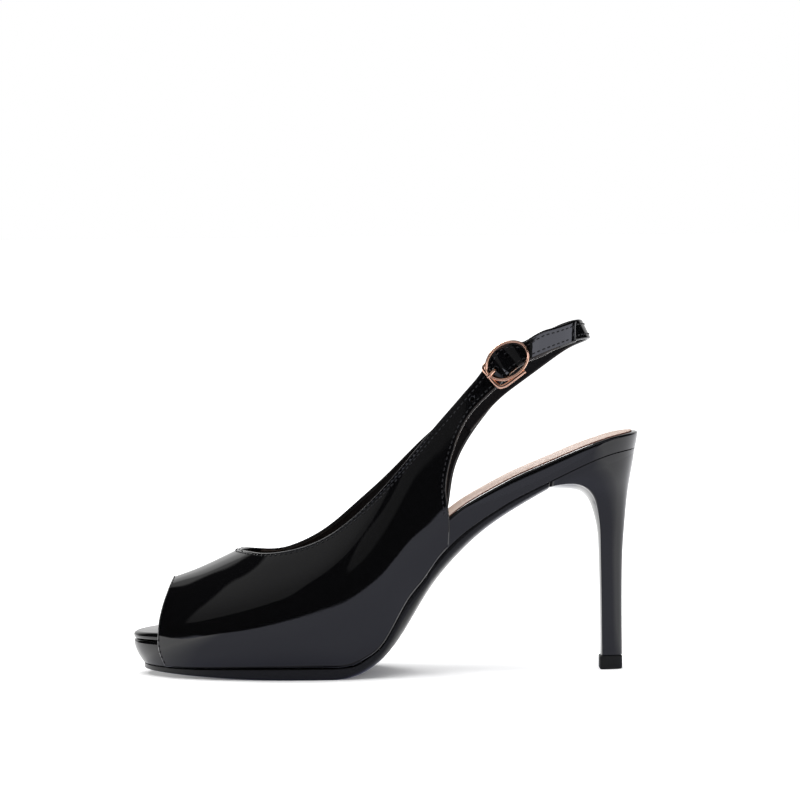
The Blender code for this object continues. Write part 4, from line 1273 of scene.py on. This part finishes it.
def hole_places():
    """Point, outward direction and radius of each hole along the tongue."""
    tilt = math.radians(BUCKLE_TILT)
    slope = math.radians(HOLE_SLOPE)
    steps = np.array(HOLE_STEPS, float)
    x = BUCKLE_X - HOLE_FROM_BAR * math.cos(tilt) + steps * HOLE_PITCH * math.cos(slope)
    z = BUCKLE_Z - HOLE_FROM_BAR * math.sin(tilt) + steps * HOLE_PITCH * math.sin(slope)
    here, outward = shell_frame(x, z, LATERAL)
    return here, outward, np.where(steps == 0.0, PRONG_HOLE_RADIUS, HOLE_RADIUS)


def hole_cutters():
    """One mesh of all the hole cutters: cylinders along the strap's outward directions.

    The prong's hole goes right through; the others stop at the lining.
    """
    tubes = []
    for at, out, size in zip(*hole_places()):
        depth = HOLE_THROUGH if size > HOLE_RADIUS else HOLE_BLIND
        path = np.stack([at - depth * out, at + HOLE_THROUGH * out])
        tubes.append(closed_tube(sweep(path, np.array([1.0, 0.0, 0.0]), round_profile(size, HOLE_ROUND))))
    return joined(tubes)


def cut(target, points, faces):
    """Cut a closed shape out of a piece and keep the result in the piece's mesh."""
    mesh = bpy.data.meshes.new("cutter")
    mesh.from_pydata(place(points), [], faces)
    cutter = bpy.data.objects.new("cutter", mesh)
    bpy.context.scene.collection.objects.link(cutter)
    bore = target.modifiers.new("bore", "BOOLEAN")
    bore.operation = "DIFFERENCE"
    bore.solver = "EXACT"
    bore.object = cutter
    bpy.context.view_layer.update()
    graph = bpy.context.evaluated_depsgraph_get()
    result = bpy.data.meshes.new_from_object(target.evaluated_get(graph), depsgraph=graph)
    target.modifiers.remove(bore)
    old = target.data
    target.data = result
    bpy.data.meshes.remove(old)
    bpy.data.objects.remove(cutter)
    bpy.data.meshes.remove(mesh)


def seam_shift(x, q, side, away, inset):
    """Places moved from an edge into the sheet by the inset.

    The move in millimetres is solved for a change along and a change around by least squares.
    """
    along, turn = section_slopes(x, q, side)
    wanted = -inset * away
    aa = np.sum(along * along, axis=-1)
    ab = np.sum(along * turn, axis=-1)
    bb = np.sum(turn * turn, axis=-1)
    ra = np.sum(along * wanted, axis=-1)
    rb = np.sum(turn * wanted, axis=-1)
    det = aa * bb - ab * ab
    return x + (ra * bb - rb * ab) / det, q + (rb * aa - ra * ab) / det


def stitch_mesh(path, normals, pitch, shown, width):
    """Stitches along a path: one low capsule per pitch, its ends dipping into the leather.

    With c the cosine that falls from one at a stitch's middle to nought at its ends, the thread's
    height follows c and its width a low power of c.
    """
    run = run_along(path)
    count = max(int(run[-1] / pitch), 1)
    centres = (np.arange(count) + 0.5) * run[-1] / count
    share = np.linspace(-0.5, 0.5, STITCH_ROWS)
    at = centres[:, None] + share * shown

    def read(rows, places):
        return abreast(*[np.interp(places, run, rows[:, i]) for i in range(3)])

    out = unit(read(normals, at))
    ahead = unit(read(path, at + STITCH_PROBE) - read(path, at - STITCH_PROBE))
    wave = np.cos(share * math.pi)[None, :, None, None]
    angle = (np.arange(STITCH_SIDES) / STITCH_SIDES * 2.0 * math.pi)[None, None, :, None]
    size = 0.5 * width * np.maximum(wave, STITCH_END) ** STITCH_TAPER
    lift = width * (STITCH_RISE * wave - STITCH_SINK)
    points = read(path, at)[:, :, None, :] + np.cross(ahead, out)[:, :, None, :] * np.cos(angle) * size
    points = points + out[:, :, None, :] * (np.sin(angle) * size + lift)
    first = np.array([[5, 4, 3, 2], [5, 2, 1, 0]])
    last = np.array([[0, 1, 2, 3], [0, 3, 4, 5]]) + (STITCH_ROWS - 1) * STITCH_SIDES
    one = np.concatenate([grid_quads(STITCH_ROWS, STITCH_SIDES, wrap_columns=True), first, last])
    faces = one + (np.arange(count) * STITCH_ROWS * STITCH_SIDES)[:, None, None]
    return points.reshape(-1, 3), faces.reshape(-1, 4)


def add(tree, kind, inputs=None, **settings):
    """Add a node, set its properties, and give its inputs values or link them.

    A node given as a value is linked by its first output.
    """
    made = tree.nodes.new(kind)
    for name, value in settings.items():
        setattr(made, name, value)
    for name, value in (inputs or {}).items():
        if isinstance(value, bpy.types.Node):
            value = value.outputs[0]
        if isinstance(value, bpy.types.NodeSocket):
            tree.links.new(value, made.inputs[name])
        else:
            made.inputs[name].default_value = value
    return made


def blank_material(name):
    """New material, its empty tree and the object's own coordinates."""
    made = bpy.data.materials.new(name)
    made.use_nodes = True
    tree = made.node_tree
    tree.nodes.clear()
    return made, tree, add(tree, "ShaderNodeTexCoord").outputs["Object"]


def finish(name, base, dress):
    """Material of one Principled shader, made once; its dress gives the inputs beside a plain colour."""
    made = bpy.data.materials.get(name)
    if made:
        return made
    made, tree, where = blank_material(name)
    inputs = {"Base Color": (*base, 1.0), **dress(tree, where)}
    shader = add(tree, "ShaderNodeBsdfPrincipled", inputs)
    add(tree, "ShaderNodeOutputMaterial", {"Surface": shader})
    return made


def patent_leather(colours):
    """Patent leather: dyed leather under a flowed polyurethane film.

    The film is mirror smooth but for a faint orange peel a few millimetres wide, so reflections are
    sharp and waver a little.
    """

    def dress(tree, where):
        peel = {"Vector": where, "Scale": 1.0 / (6.0 * MM), "Detail": 2.0, "Roughness": 0.4}
        peel = add(tree, "ShaderNodeTexNoise", peel)
        grain = {"Vector": where, "Scale": 1.0 / (0.9 * MM), "Detail": 1.0}
        grain = add(tree, "ShaderNodeTexNoise", grain)
        both = add(tree, "ShaderNodeMath", {0: peel, 1: grain}, operation="ADD")
        bump = add(tree, "ShaderNodeBump", {"Height": both, "Strength": 0.02, "Distance": 0.2 * MM})
        handled = {"Vector": where, "Scale": 1.0 / (25.0 * MM), "Detail": 3.0}
        handled = add(tree, "ShaderNodeTexNoise", handled)
        rough = add(tree, "ShaderNodeMapRange", {"Value": handled, "To Min": 0.03, "To Max": 0.06})
        return {"IOR": 1.5, "Roughness": rough, "Normal": bump}

    return finish("patent_leather", colours.patent, dress)


def lining_textile(colours):
    """Woven polyester lining, black and dull, threads about half a millimetre wide."""

    def dress(tree, where):
        bands = {"Vector": where, "Scale": 0.5 / (1.1 * MM), "Distortion": 1.0}
        warp = add(tree, "ShaderNodeTexWave", bands, bands_direction="X").outputs["Fac"]
        weft = add(tree, "ShaderNodeTexWave", bands, bands_direction="Z").outputs["Fac"]
        weave = add(tree, "ShaderNodeMath", {0: warp, 1: weft}, operation="MULTIPLY")
        bump = add(tree, "ShaderNodeBump", {"Height": weave, "Strength": 0.4, "Distance": 0.3 * MM})
        return {"Roughness": 0.75, "Specular IOR Level": 0.2, "Normal": bump}

    return finish("lining_textile", colours.lining, dress)


def sock_leather(colours):
    """Pale pink lining leather, buffed and dull, with a fine pore grain and a little mottling."""

    def dress(tree, where):
        mottle = {"Vector": where, "Scale": 1.0 / (12.0 * MM), "Detail": 3.0}
        mottle = add(tree, "ShaderNodeTexNoise", mottle)
        shade = add(tree, "ShaderNodeMix", {0: mottle}, data_type="RGBA")
        shade.inputs["A"].default_value = (*[c * 0.93 for c in colours.sock], 1.0)
        shade.inputs["B"].default_value = (*[min(c * 1.05, 1.0) for c in colours.sock], 1.0)
        pores = add(tree, "ShaderNodeTexVoronoi", {"Vector": where, "Scale": 1.0 / (0.9 * MM)})
        bump = add(tree, "ShaderNodeBump", {"Height": pores, "Strength": 0.15, "Distance": 0.1 * MM})
        return {"Base Color": shade.outputs["Result"], "Roughness": 0.55, "Normal": bump}

    return finish("sock_leather", colours.sock, dress)


def cut_leather_edge(colours):
    """Cut edge of the sock leather, browner and fibrous."""

    def dress(tree, where):
        fibre = {"Vector": where, "Scale": 1.0 / (0.7 * MM), "Detail": 2.0}
        fibre = add(tree, "ShaderNodeTexNoise", fibre)
        bump = add(tree, "ShaderNodeBump", {"Height": fibre, "Strength": 0.3, "Distance": 0.2 * MM})
        return {"Roughness": 0.8, "Normal": bump}

    return finish("cut_leather_edge", colours.sock_edge, dress)


def rose_gold_plate(colours):
    """Rose gold plating on a cast and tumbled buckle: bright, with fine hairlines in its gloss."""

    def dress(tree, where):
        wear = {"Vector": where, "Scale": 1.0 / (1.2 * MM), "Detail": 3.0}
        wear = add(tree, "ShaderNodeTexNoise", wear)
        rough = add(tree, "ShaderNodeMapRange", {"Value": wear, "To Min": 0.05, "To Max": 0.15})
        return {"Metallic": 1.0, "Roughness": rough}

    return finish("rose_gold_plate", colours.gold, dress)


def sole_rubber(colours):
    """Moulded rubber of the outsole, satin black with a fine sandy skin."""

    def dress(tree, where):
        sand = {"Vector": where, "Scale": 1.0 / (0.6 * MM), "Detail": 2.0}
        sand = add(tree, "ShaderNodeTexNoise", sand)
        bump = add(tree, "ShaderNodeBump", {"Height": sand, "Strength": 0.3, "Distance": 0.2 * MM})
        return {"Roughness": 0.22, "Specular IOR Level": 0.28, "Normal": bump}

    return finish("sole_rubber", colours.sole, dress)


def top_piece_plastic(colours):
    """Injection-moulded polyurethane of the top piece, matte and a little scuffed."""

    def dress(tree, where):
        scuff = {"Vector": where, "Scale": 1.0 / (1.5 * MM), "Detail": 3.0}
        scuff = add(tree, "ShaderNodeTexNoise", scuff)
        rough = add(tree, "ShaderNodeMapRange", {"Value": scuff, "To Min": 0.45, "To Max": 0.75})
        return {"Specular IOR Level": 0.2, "Roughness": rough}

    return finish("top_piece_plastic", colours.tip, dress)


def sewing_thread(colours):
    """Bonded polyester thread, black with a satin light along its turns."""

    def dress(tree, where):
        ply = {"Vector": where, "Scale": 0.5 / (0.4 * MM), "Distortion": 0.5}
        ply = add(tree, "ShaderNodeTexWave", ply, bands_direction="DIAGONAL").outputs["Fac"]
        bump = add(tree, "ShaderNodeBump", {"Height": ply, "Strength": 0.3, "Distance": 0.1 * MM})
        return {"Roughness": 0.4, "Normal": bump}

    return finish("sewing_thread", colours.thread, dress)


def floor_paper_painted_shade_and_reflection(colours):
    """White table top that glows white to the eye; its glow carries painted shade, and it takes a soft
    contact shadow that is partly real and partly painted.

    The glow is painted darker near the shoe and rises with the distance from it, so that the table
    runs into the white behind it; under the tread it is cut down further as a painted contact shadow.
    Only in the patent's mirror the table is a painted reflection, darker and bluer, but not at its
    left and under the arch, and it ends at its front edge with the room beyond.
    """
    made, tree, where = blank_material("floor_paper_painted_shade_and_reflection")
    axes = add(tree, "ShaderNodeSeparateXYZ", {"Vector": where}).outputs
    x, y = axes["X"], axes["Y"]
    mirrored = add(tree, "ShaderNodeLightPath").outputs["Is Glossy Ray"]
    # Painted contact shadow: an ellipse round the tread, where the glow is cut down
    tread = {"Vector": where, "Location": TREAD_SHIFT, "Scale": TREAD_SCALE}
    tread = add(tree, "ShaderNodeMapping", tread)
    from_shoe = add(tree, "ShaderNodeVectorMath", {0: where}, operation="LENGTH")
    from_tread = add(tree, "ShaderNodeVectorMath", {0: tread}, operation="LENGTH")
    past_toe = add(tree, "ShaderNodeMath", {0: x, 1: TABLE_TOE}, operation="ADD")
    past_toe = add(tree, "ShaderNodeMath", {0: past_toe, 1: 0.0}, operation="MAXIMUM")
    # Slants and windows that shape the painted reflection of the table, seen only in the patent's mirror
    slants = {"left": (y, -TABLE_SLANT, x), "right": (y, TABLE_SLANT, x)}
    slants["beyond"] = (past_toe, TABLE_SLANT, y)
    readings = {"front": y, "ball": x, "heel": x}
    readings["painted_shade_glow"] = from_shoe.outputs["Value"]
    readings["painted_contact_shadow"] = from_tread.outputs["Value"]
    for name, terms in slants.items():
        readings[name] = add(tree, "ShaderNodeMath", dict(enumerate(terms)), operation="MULTIPLY_ADD")
    level = {}
    for name, value in readings.items():
        limits = dict(zip(RANGE_INPUTS, FLOOR_RANGES[name]))
        level[name] = add(tree, "ShaderNodeMapRange", {"Value": value, **limits})
    level["painted_shade_glow"].interpolation_type = "SMOOTHSTEP"

    # Painted shade: the glow, darker near the shoe, times the painted contact shadow
    painted_shade_glow = add(tree, "ShaderNodeMath", {0: level["painted_shade_glow"], 1: level["painted_contact_shadow"]}, operation="MULTIPLY")
    arch = add(tree, "ShaderNodeMath", {0: level["front"], 1: level["ball"]}, operation="MULTIPLY")
    arch = add(tree, "ShaderNodeMath", {0: arch, 1: level["heel"]}, operation="MULTIPLY")
    # Share of the painted reflection, darker and bluer, that glossy rays see in place of the table
    share = add(tree, "ShaderNodeMath", {0: level["left"], 1: level["right"]}, operation="ADD")
    clear_of_arch = add(tree, "ShaderNodeMath", {0: 1.0, 1: arch}, operation="SUBTRACT")
    share = add(tree, "ShaderNodeMath", {0: share, 1: clear_of_arch}, operation="MULTIPLY")
    share = add(tree, "ShaderNodeMath", {0: share, 1: mirrored}, operation="MULTIPLY")
    gone = add(tree, "ShaderNodeMath", {0: level["beyond"], 1: mirrored}, operation="MULTIPLY")

    tooth = add(tree, "ShaderNodeTexNoise", {"Vector": where, "Scale": 1.0 / (2.0 * MM), "Detail": 2.0})
    bump = add(tree, "ShaderNodeBump", {"Height": tooth, "Strength": 0.02, "Distance": 0.2 * MM})
    paper = {"Base Color": (*colours.floor, 1.0), "Roughness": 1.0, "Specular IOR Level": 0.0}
    paper.update({"Emission Color": WHITE, "Emission Strength": painted_shade_glow, "Normal": bump})
    paper = add(tree, "ShaderNodeBsdfPrincipled", paper)
    # Painted reflection of the table: a dim bluish glow that only the patent's mirror sees
    painted_reflection = add(tree, "ShaderNodeEmission", {"Color": PAINTED_TABLE_REFLECTION})
    table = add(tree, "ShaderNodeMixShader", {0: share, 1: paper, 2: painted_reflection})
    clear = add(tree, "ShaderNodeBsdfTransparent")
    mix = add(tree, "ShaderNodeMixShader", {0: gone, 1: table, 2: clear})
    add(tree, "ShaderNodeOutputMaterial", {"Surface": mix})
    return made


def studio_light(tree, stage):
    """World of the studio: white to the camera, and to all else a dark room with lit things in it.

    A lit table lies below, a lit cloth stands behind the shoe and a soft box hangs over the toe.
    Each is a product of smooth windows, given as a reading, its two ends in degrees and the levels
    there.  The azimuth is nought at the camera and positive to the right, and the box's left side
    is a plane, read as the sine of the angle to it.
    """
    tree.nodes.clear()
    where = add(tree, "ShaderNodeTexCoord").outputs["Generated"]
    axes = add(tree, "ShaderNodeSeparateXYZ", {"Vector": where}).outputs
    toward = add(tree, "ShaderNodeMath", {0: axes["Y"], 1: -1.0}, operation="MULTIPLY")
    azimuth = add(tree, "ShaderNodeMath", {0: axes["X"], 1: toward}, operation="ARCTAN2")
    aside = add(tree, "ShaderNodeMath", {0: azimuth}, operation="ABSOLUTE")
    height = add(tree, "ShaderNodeMath", {0: axes["Z"]}, operation="ARCSINE")
    side = add(tree, "ShaderNodeVectorMath", {0: where, 1: BOX_SIDE}, operation="DOT_PRODUCT")

    def lit(*windows):
        share = 1.0
        for value, low, high, least, most in windows:
            limits = dict(zip(RANGE_INPUTS, (math.radians(low), math.radians(high), least, most)))
            limits["Value"] = value
            window = add(tree, "ShaderNodeMapRange", limits, interpolation_type="SMOOTHSTEP")
            share = add(tree, "ShaderNodeMath", {0: share, 1: window}, operation="MULTIPLY")
        return share

    rim = lit((aside, 40.0, 52.0, math.radians(11.0), math.radians(4.0)))
    below = add(tree, "ShaderNodeMath", {0: height, 1: rim}, operation="ADD")
    table = lit((below, 1.0, -1.0, 0.0, stage.table))
    cloth = lit(
        (aside, 134.0, 140.0, 0.0, 1.0),
        (height, 33.0, 29.0, 0.0, 1.0),
        (height, -5.0, -3.0, 0.0, 1.0),
        (height, 2.0, 34.0, 0.8 * stage.backdrop, 0.36 * stage.backdrop),
    )
    foot_left = lit((azimuth, -19.0, -8.0, math.radians(13.0), math.radians(22.0)))
    foot_right = lit((azimuth, -4.0, 14.0, 0.0, math.radians(-19.5)))
    foot = add(tree, "ShaderNodeMath", {0: foot_left, 1: foot_right}, operation="ADD")
    over = add(tree, "ShaderNodeMath", {0: height, 1: foot}, operation="SUBTRACT")
    box = lit(
        (side.outputs["Value"], *np.degrees(BOX_SIDE_ENDS), 0.0, 1.0),
        (over, -0.8, 0.8, 0.0, 1.0),
        (azimuth, 22.0, 19.0, 0.0, 1.0),
        (over, -6.0, 40.0, 0.2 * stage.soft_box, 0.45 * stage.soft_box),
        (azimuth, -2.0, 12.0, 1.0, 0.65),
    )
    white = add(tree, "ShaderNodeMath", {0: cloth, 1: box}, operation="ADD")
    white = add(tree, "ShaderNodeMath", {0: white, 1: stage.room}, operation="ADD")
    room = add(tree, "ShaderNodeBackground", {"Color": WHITE, "Strength": white})
    ground = add(tree, "ShaderNodeBackground", {"Color": TABLE_TINT, "Strength": table})
    both = add(tree, "ShaderNodeAddShader", {0: room, 1: ground})
    seen = add(tree, "ShaderNodeBackground", {"Color": WHITE, "Strength": 1.0})
    by_eye = add(tree, "ShaderNodeLightPath").outputs["Is Camera Ray"]
    mix = add(tree, "ShaderNodeMixShader", {0: by_eye, 1: both, 2: seen})
    add(tree, "ShaderNodeOutputWorld", {"Surface": mix})


def area_light(name, size, power, at, away=None):
    """Rectangular light at a place: it shines down, or against a direction away from what it lights."""
    light = bpy.data.lights.new(name, "AREA")
    light.shape = "RECTANGLE"
    light.size, light.size_y = size
    light.energy = power
    lamp = bpy.data.objects.new(name, light)
    lamp.location = at
    if away is not None:
        lamp.rotation_euler = away.to_track_quat("Z", "Y").to_euler()
        lamp.visible_camera = False
    bpy.context.scene.collection.objects.link(lamp)
    return lamp


class PUMP_OT_upper(bpy.types.Operator):
    """Build the patent upper with its lining, turned edges and strap holes"""

    bl_idname = "pump.upper"
    bl_label = "Upper"

    def execute(self, context):
        sizes = context.scene.pump_sizes
        colours = context.scene.pump_colours
        sheet = UpperSheet()
        points, faces, picks = shell(sheet, WALL, sizes.edge_round / MM)
        faces = facing_out(points, faces)
        looks = [patent_leather(colours), lining_textile(colours)]
        made = make_mesh("upper_shell", points, faces.tolist(), looks, picks)
        cut(made, *hole_cutters())
        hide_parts("upper")
        return {"FINISHED"}


class PUMP_OT_sole(bpy.types.Operator):
    """Build the outsole, the platform and the wrapped footbed"""

    bl_idname = "pump.sole"
    bl_label = "Sole"

    def execute(self, context):
        colours = context.scene.pump_colours
        patent = patent_leather(colours)
        edges = edge_profile(*FOREFOOT_EDGE), edge_profile(*WAIST_EDGE)
        outsole = sole_layer(
            "outsole_rubber", (outsole_dome, outsole_top), edges, OUTSOLE_CHANGE, OUTSOLE_INSET,
            (TOE_TIP, OUTSOLE_END), False, False, sole_rubber(colours),
        )
        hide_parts("outsole")

        levels = shifted(outsole_top, GAP), shifted(footbed_under, -GAP)
        edges = edge_profile(*PLATFORM_ROLL), edge_profile(*PLATFORM_ROLL)
        platform = sole_layer(
            "platform_wrap", levels, edges, (0.0, 1.0), 0.0, (TOE_TIP, PLATFORM_END), False, True, patent
        )
        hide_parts("platform")

        edges = edge_profile(*FOOTBED_ROLL), edge_profile(*FOOTBED_BAND)
        footbed = sole_layer(
            "footbed_wrap", (footbed_under, footbed_top), edges, FOOTBED_CHANGE, 0.0,
            (TOE_TIP, HEEL_BACK), True, True, patent, 1.0,
        )
        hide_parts("footbed")
        return {"FINISHED"}


class PUMP_OT_sock(bpy.types.Operator):
    """Build the sock sheet glued down on the footbed"""

    bl_idname = "pump.sock"
    bl_label = "Sock"

    def execute(self, context):
        colours = context.scene.pump_colours
        crown = context.scene.pump_sizes.sock_crown / MM
        rings = []
        for draw, lift in SOCK_EDGE:
            inset = SOCK_INSET + draw
            level = shifted(footbed_top, lift)
            rings.append(sole_ring(level, lambda x, by=inset: by, SOCK_FRONT - inset, HEEL_BACK, True, False))
        x, y, z = rings[-1].T.copy()
        centre = 0.5 * (y + y[::-1])
        for share in SOCK_SHARES:
            rings.append(abreast(x, centre + (y - centre) * share, z + crown * (1.0 - share**2)))
        for ring in rings:
            ring[:, 2] -= medial_drop(ring)
        looks = [sock_leather(colours), cut_leather_edge(colours)]
        picks = np.array([1, 1] + [0] * (len(rings) - 3))
        made = ring_stack("sock_sheet", rings, looks, picks)
        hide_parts("sock")
        return {"FINISHED"}


class PUMP_OT_heel(bpy.types.Operator):
    """Build the wrapped heel and its top piece"""

    bl_idname = "pump.heel"
    bl_label = "Heel"

    def execute(self, context):
        colours = context.scene.pump_colours
        rows = np.array(HEEL_ROWS)
        knots = np.arange(len(rows), dtype=float)
        curves = [smooth_curve(knots, column) for column in rows.T]
        rings = []
        for at in np.linspace(0.0, len(rows) - 1.0, HEEL_LEVELS):
            fx, fz, bx, bz, half, straight, bulge = (float(curve(at)) for curve in curves)
            slope = [curve(at + HEEL_SLOPE_STEP) - curve(at - HEEL_SLOPE_STEP) for curve in curves[:2]]
            run = unit(np.array(slope))
            rings.append(heel_ring((fx, fz), (bx, bz), half, straight, bulge * np.array([-run[1], run[0]])))
        rings[0][:, 2] = TIP_HEIGHT + GAP
        for turn in np.linspace(0.0, 0.5 * math.pi, HEEL_TOP_STEPS):
            draw = HEEL_TOP_ROUND * (1.0 - math.cos(turn))
            drop = HEEL_TOP_ROUND * (1.0 - math.sin(turn))
            back = (bx + HEEL_TOP_BACK - draw, bz)
            ring = heel_ring((fx + draw, fz), back, HEEL_TOP_HALF - draw, straight)
            ring[:, 2] = footbed_under(ring[:, 0]) - HEEL_SEAM - drop
            rings.append(ring)
        heel = ring_stack("heel_wrap", rings, [patent_leather(colours)])
        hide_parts("heel")

        rings = []
        for share, draw in edge_profile(*TIP_EDGE):
            z = share * TIP_HEIGHT
            front, back = (TIP_FRONT + draw, z), (TIP_BACK - draw, z)
            rings.append(heel_ring(front, back, TIP_HALF - draw, TIP_STRAIGHT))
        tip = ring_stack("top_piece", rings, [top_piece_plastic(colours)])
        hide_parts("heel_tip")
        return {"FINISHED"}


class PUMP_OT_strap(bpy.types.Operator):
    """Build the sling strap from the medial quarter round the heel to the buckle"""

    bl_idname = "pump.strap"
    bl_label = "Sling strap"

    def execute(self, context):
        colours = context.scene.pump_colours
        path, outward, _, _ = sling_course()
        half = 0.5 * STRAP_WIDTH - STRAP_SHY
        profile = strap_section(half, 0.5 * STRAP_THICKNESS, STRAP_ACROSS, STRAP_EDGE_STEPS)
        looks = [patent_leather(colours), lining_textile(colours)]
        picks = (np.arange(len(profile)) < STRAP_ACROSS - 1).astype(int)
        made = solid_tube("sling_strap_skin", sweep(path, outward, profile), looks, picks)
        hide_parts("sling_strap")
        return {"FINISHED"}


class PUMP_OT_buckle(bpy.types.Operator):
    """Build the buckle's ring, plates, centre bar and prong"""

    bl_idname = "pump.buckle"
    bl_label = "Buckle"

    def execute(self, context):
        colours = context.scene.pump_colours
        gold = rose_gold_plate(colours)
        plates = [buckle_plate(across) for across in PLATE_ACROSS]
        tubes = [closed_tube(grid) for grid in (buckle_loop(), centre_bar(), *plates)]
        cast = make_mesh("buckle_cast", *joined([oval_ring(), *tubes]), [gold])
        cast.data.set_sharp_from_angle(angle=math.radians(CAST_SHARP_ANGLE))
        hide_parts("buckle_frame")

        pin = solid_tube("buckle_pin", buckle_pin(), [gold])
        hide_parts("buckle_prong")
        return {"FINISHED"}


class PUMP_OT_stitching(bpy.types.Operator):
    """Sew the seams along the upper's edges and the strap"""

    bl_idname = "pump.stitching"
    bl_label = "Stitching"

    def execute(self, context):
        sizes = context.scene.pump_sizes
        colours = context.scene.pump_colours
        inset = sizes.stitch_inset / MM
        sheet = UpperSheet()
        points = sheet.flat(sheet.points)
        outward = np.zeros_like(points)
        outward[sheet.loop] = sheet.edge_outward(points, sheet.flat(sheet.normals))

        def seam(side, rows, columns, by):
            x, q = (part[rows, columns] for part in sheet.places[side])
            at, around = seam_shift(x, q, side, outward[sheet.index[side][rows, columns]], by)
            return section_point(at, around, side), section_normal(at, around, side)

        rear = UPPER_FRONT_STEPS + UPPER_SIDE_STEPS + REAR_SEAM_FROM
        paths = []
        for side in (LATERAL, MEDIAL):
            paths.append(seam(side, slice(UPPER_FRONT_STEPS, -SEAM_STOP), -1, inset))
            paths.append(seam(side, slice(rear, -SEAM_STOP), 0, inset))
            paths.append(seam(side, 0, slice(PEEP_SEAM_FROM, None), sizes.peep_inset / MM))
        paths.append(seam(LATERAL, -1, slice(TONGUE_SEAM_FROM, -TONGUE_SEAM_FROM), inset))
        course, out, at, buckle_from = sling_course()
        sewn = (at > STRAP_SEAM_FROM) & (at < buckle_from - STRAP_SEAM_STOP)
        across = np.cross(unit(np.gradient(course, axis=0)), out)
        for edge in (-1.0, 1.0):
            reach = edge * (0.5 * STRAP_WIDTH - STRAP_SHY - inset)
            line = course + across * reach + 0.5 * STRAP_THICKNESS * out
            paths.append((line[sewn], out[sewn]))
        thread = (sizes.stitch_pitch / MM, sizes.stitch_length / MM, sizes.thread_width / MM)
        stitches = joined([stitch_mesh(line, normals, *thread) for line, normals in paths])
        made = make_mesh("edge_stitches", *stitches, [sewing_thread(colours)])
        return {"FINISHED"}


class PUMP_OT_stage(bpy.types.Operator):
    """Set up the floor, the light and the camera"""

    bl_idname = "pump.stage"
    bl_label = "Stage"

    def execute(self, context):
        scene = context.scene
        stage = scene.pump_stage
        mesh = bpy.data.meshes.new("floor")
        corners = [(FLOOR_HALF * x, FLOOR_HALF * y, 0.0) for x, y in ((-1, -1), (1, -1), (1, 1), (-1, 1))]
        mesh.from_pydata(corners, [], [(0, 1, 2, 3)])
        mesh.materials.append(floor_paper_painted_shade_and_reflection(scene.pump_colours))
        floor = bpy.data.objects.new("floor", mesh)
        scene.collection.objects.link(floor)

        world = bpy.data.worlds.new("studio")
        scene.world = world
        world.use_nodes = True
        studio_light(world.node_tree, stage)

        fill = area_light("fill", FILL_SIZE, stage.fill, FILL_AT)
        fill.visible_glossy = False
        sine, cosine = math.sin(SIDE_PANEL_TURN), math.cos(SIDE_PANEL_TURN)
        away = Vector((sine, -cosine, math.tan(SIDE_PANEL_RISE))).normalized()
        aside = Vector((cosine, sine, 0.0))
        at = Vector(place(SIDE_PANEL_AT)) + SIDE_PANEL_AWAY * away + SIDE_PANEL_ASIDE * aside
        side_panel = area_light("side_panel", SIDE_PANEL_SIZE, stage.side_panel, at, away)
        side_panel.data.color = PANEL_TINT
        away = Vector(RIM_PANEL_FROM) - Vector(RIM_PANEL_AT)
        area_light("rim_panel", RIM_PANEL_SIZE, stage.rim_panel, RIM_PANEL_FROM, away)

        azimuth = math.radians(VIEW_AZIMUTH)
        elevation = math.radians(VIEW_ELEVATION)
        level = math.cos(elevation)
        back = Vector((math.sin(azimuth) * level, -math.cos(azimuth) * level, math.sin(elevation)))
        data = bpy.data.cameras.new("camera")
        data.lens = VIEW_LENS
        data.sensor_width = SENSOR_WIDTH
        data.clip_end = VIEW_END
        camera = bpy.data.objects.new("camera", data)
        target = Vector(place(LOOK_AT))
        turn = back.to_track_quat("Z", "Y").to_matrix().to_4x4()
        roll = Matrix.Rotation(math.radians(VIEW_ROLL), 4, "Z")
        camera.matrix_world = Matrix.Translation(target + back * VIEW_DISTANCE * MM) @ turn @ roll
        scene.collection.objects.link(camera)
        scene.camera = camera
        scene.view_settings.view_transform = "Standard"
        scene.view_settings.look = "None"
        return {"FINISHED"}


class PUMP_PT_looks(bpy.types.Panel):
    """Sidebar list of the pump's pieces and finishes"""

    bl_label = "Pump"
    bl_space_type = "VIEW_3D"
    bl_region_type = "UI"
    bl_category = "Pump"

    def draw(self, context):
        for operator in OPERATORS:
            self.layout.operator(operator.bl_idname)
        for group in ("pump_sizes", "pump_colours", "pump_stage"):
            data = getattr(context.scene, group)
            column = self.layout.column()
            for name in data.bl_rna.properties.keys():
                if name not in ("rna_type", "name"):
                    column.prop(data, name)


GROUPS = (PumpSizes, PumpColours, PumpStage)
OPERATORS = (
    PUMP_OT_upper,
    PUMP_OT_sole,
    PUMP_OT_sock,
    PUMP_OT_heel,
    PUMP_OT_strap,
    PUMP_OT_buckle,
    PUMP_OT_stitching,
    PUMP_OT_stage,
)


def register():
    """Register the classes and hang the settings on the scene."""
    for made in (*GROUPS, *OPERATORS, PUMP_PT_looks):
        bpy.utils.register_class(made)
    bpy.types.Scene.pump_sizes = PointerProperty(type=PumpSizes)
    bpy.types.Scene.pump_colours = PointerProperty(type=PumpColours)
    bpy.types.Scene.pump_stage = PointerProperty(type=PumpStage)


def unregister():
    """Take the settings off the scene and drop the classes."""
    del bpy.types.Scene.pump_stage
    del bpy.types.Scene.pump_colours
    del bpy.types.Scene.pump_sizes
    for made in (PUMP_PT_looks, *reversed(OPERATORS), *reversed(GROUPS)):
        bpy.utils.unregister_class(made)


def main():
    """Build every piece in order."""
    register()
    bpy.ops.pump.upper()
    bpy.ops.pump.sole()
    bpy.ops.pump.sock()
    bpy.ops.pump.heel()
    bpy.ops.pump.strap()
    bpy.ops.pump.buckle()
    bpy.ops.pump.stitching()
    bpy.ops.pump.stage()


if __name__ == "__main__":
    main()
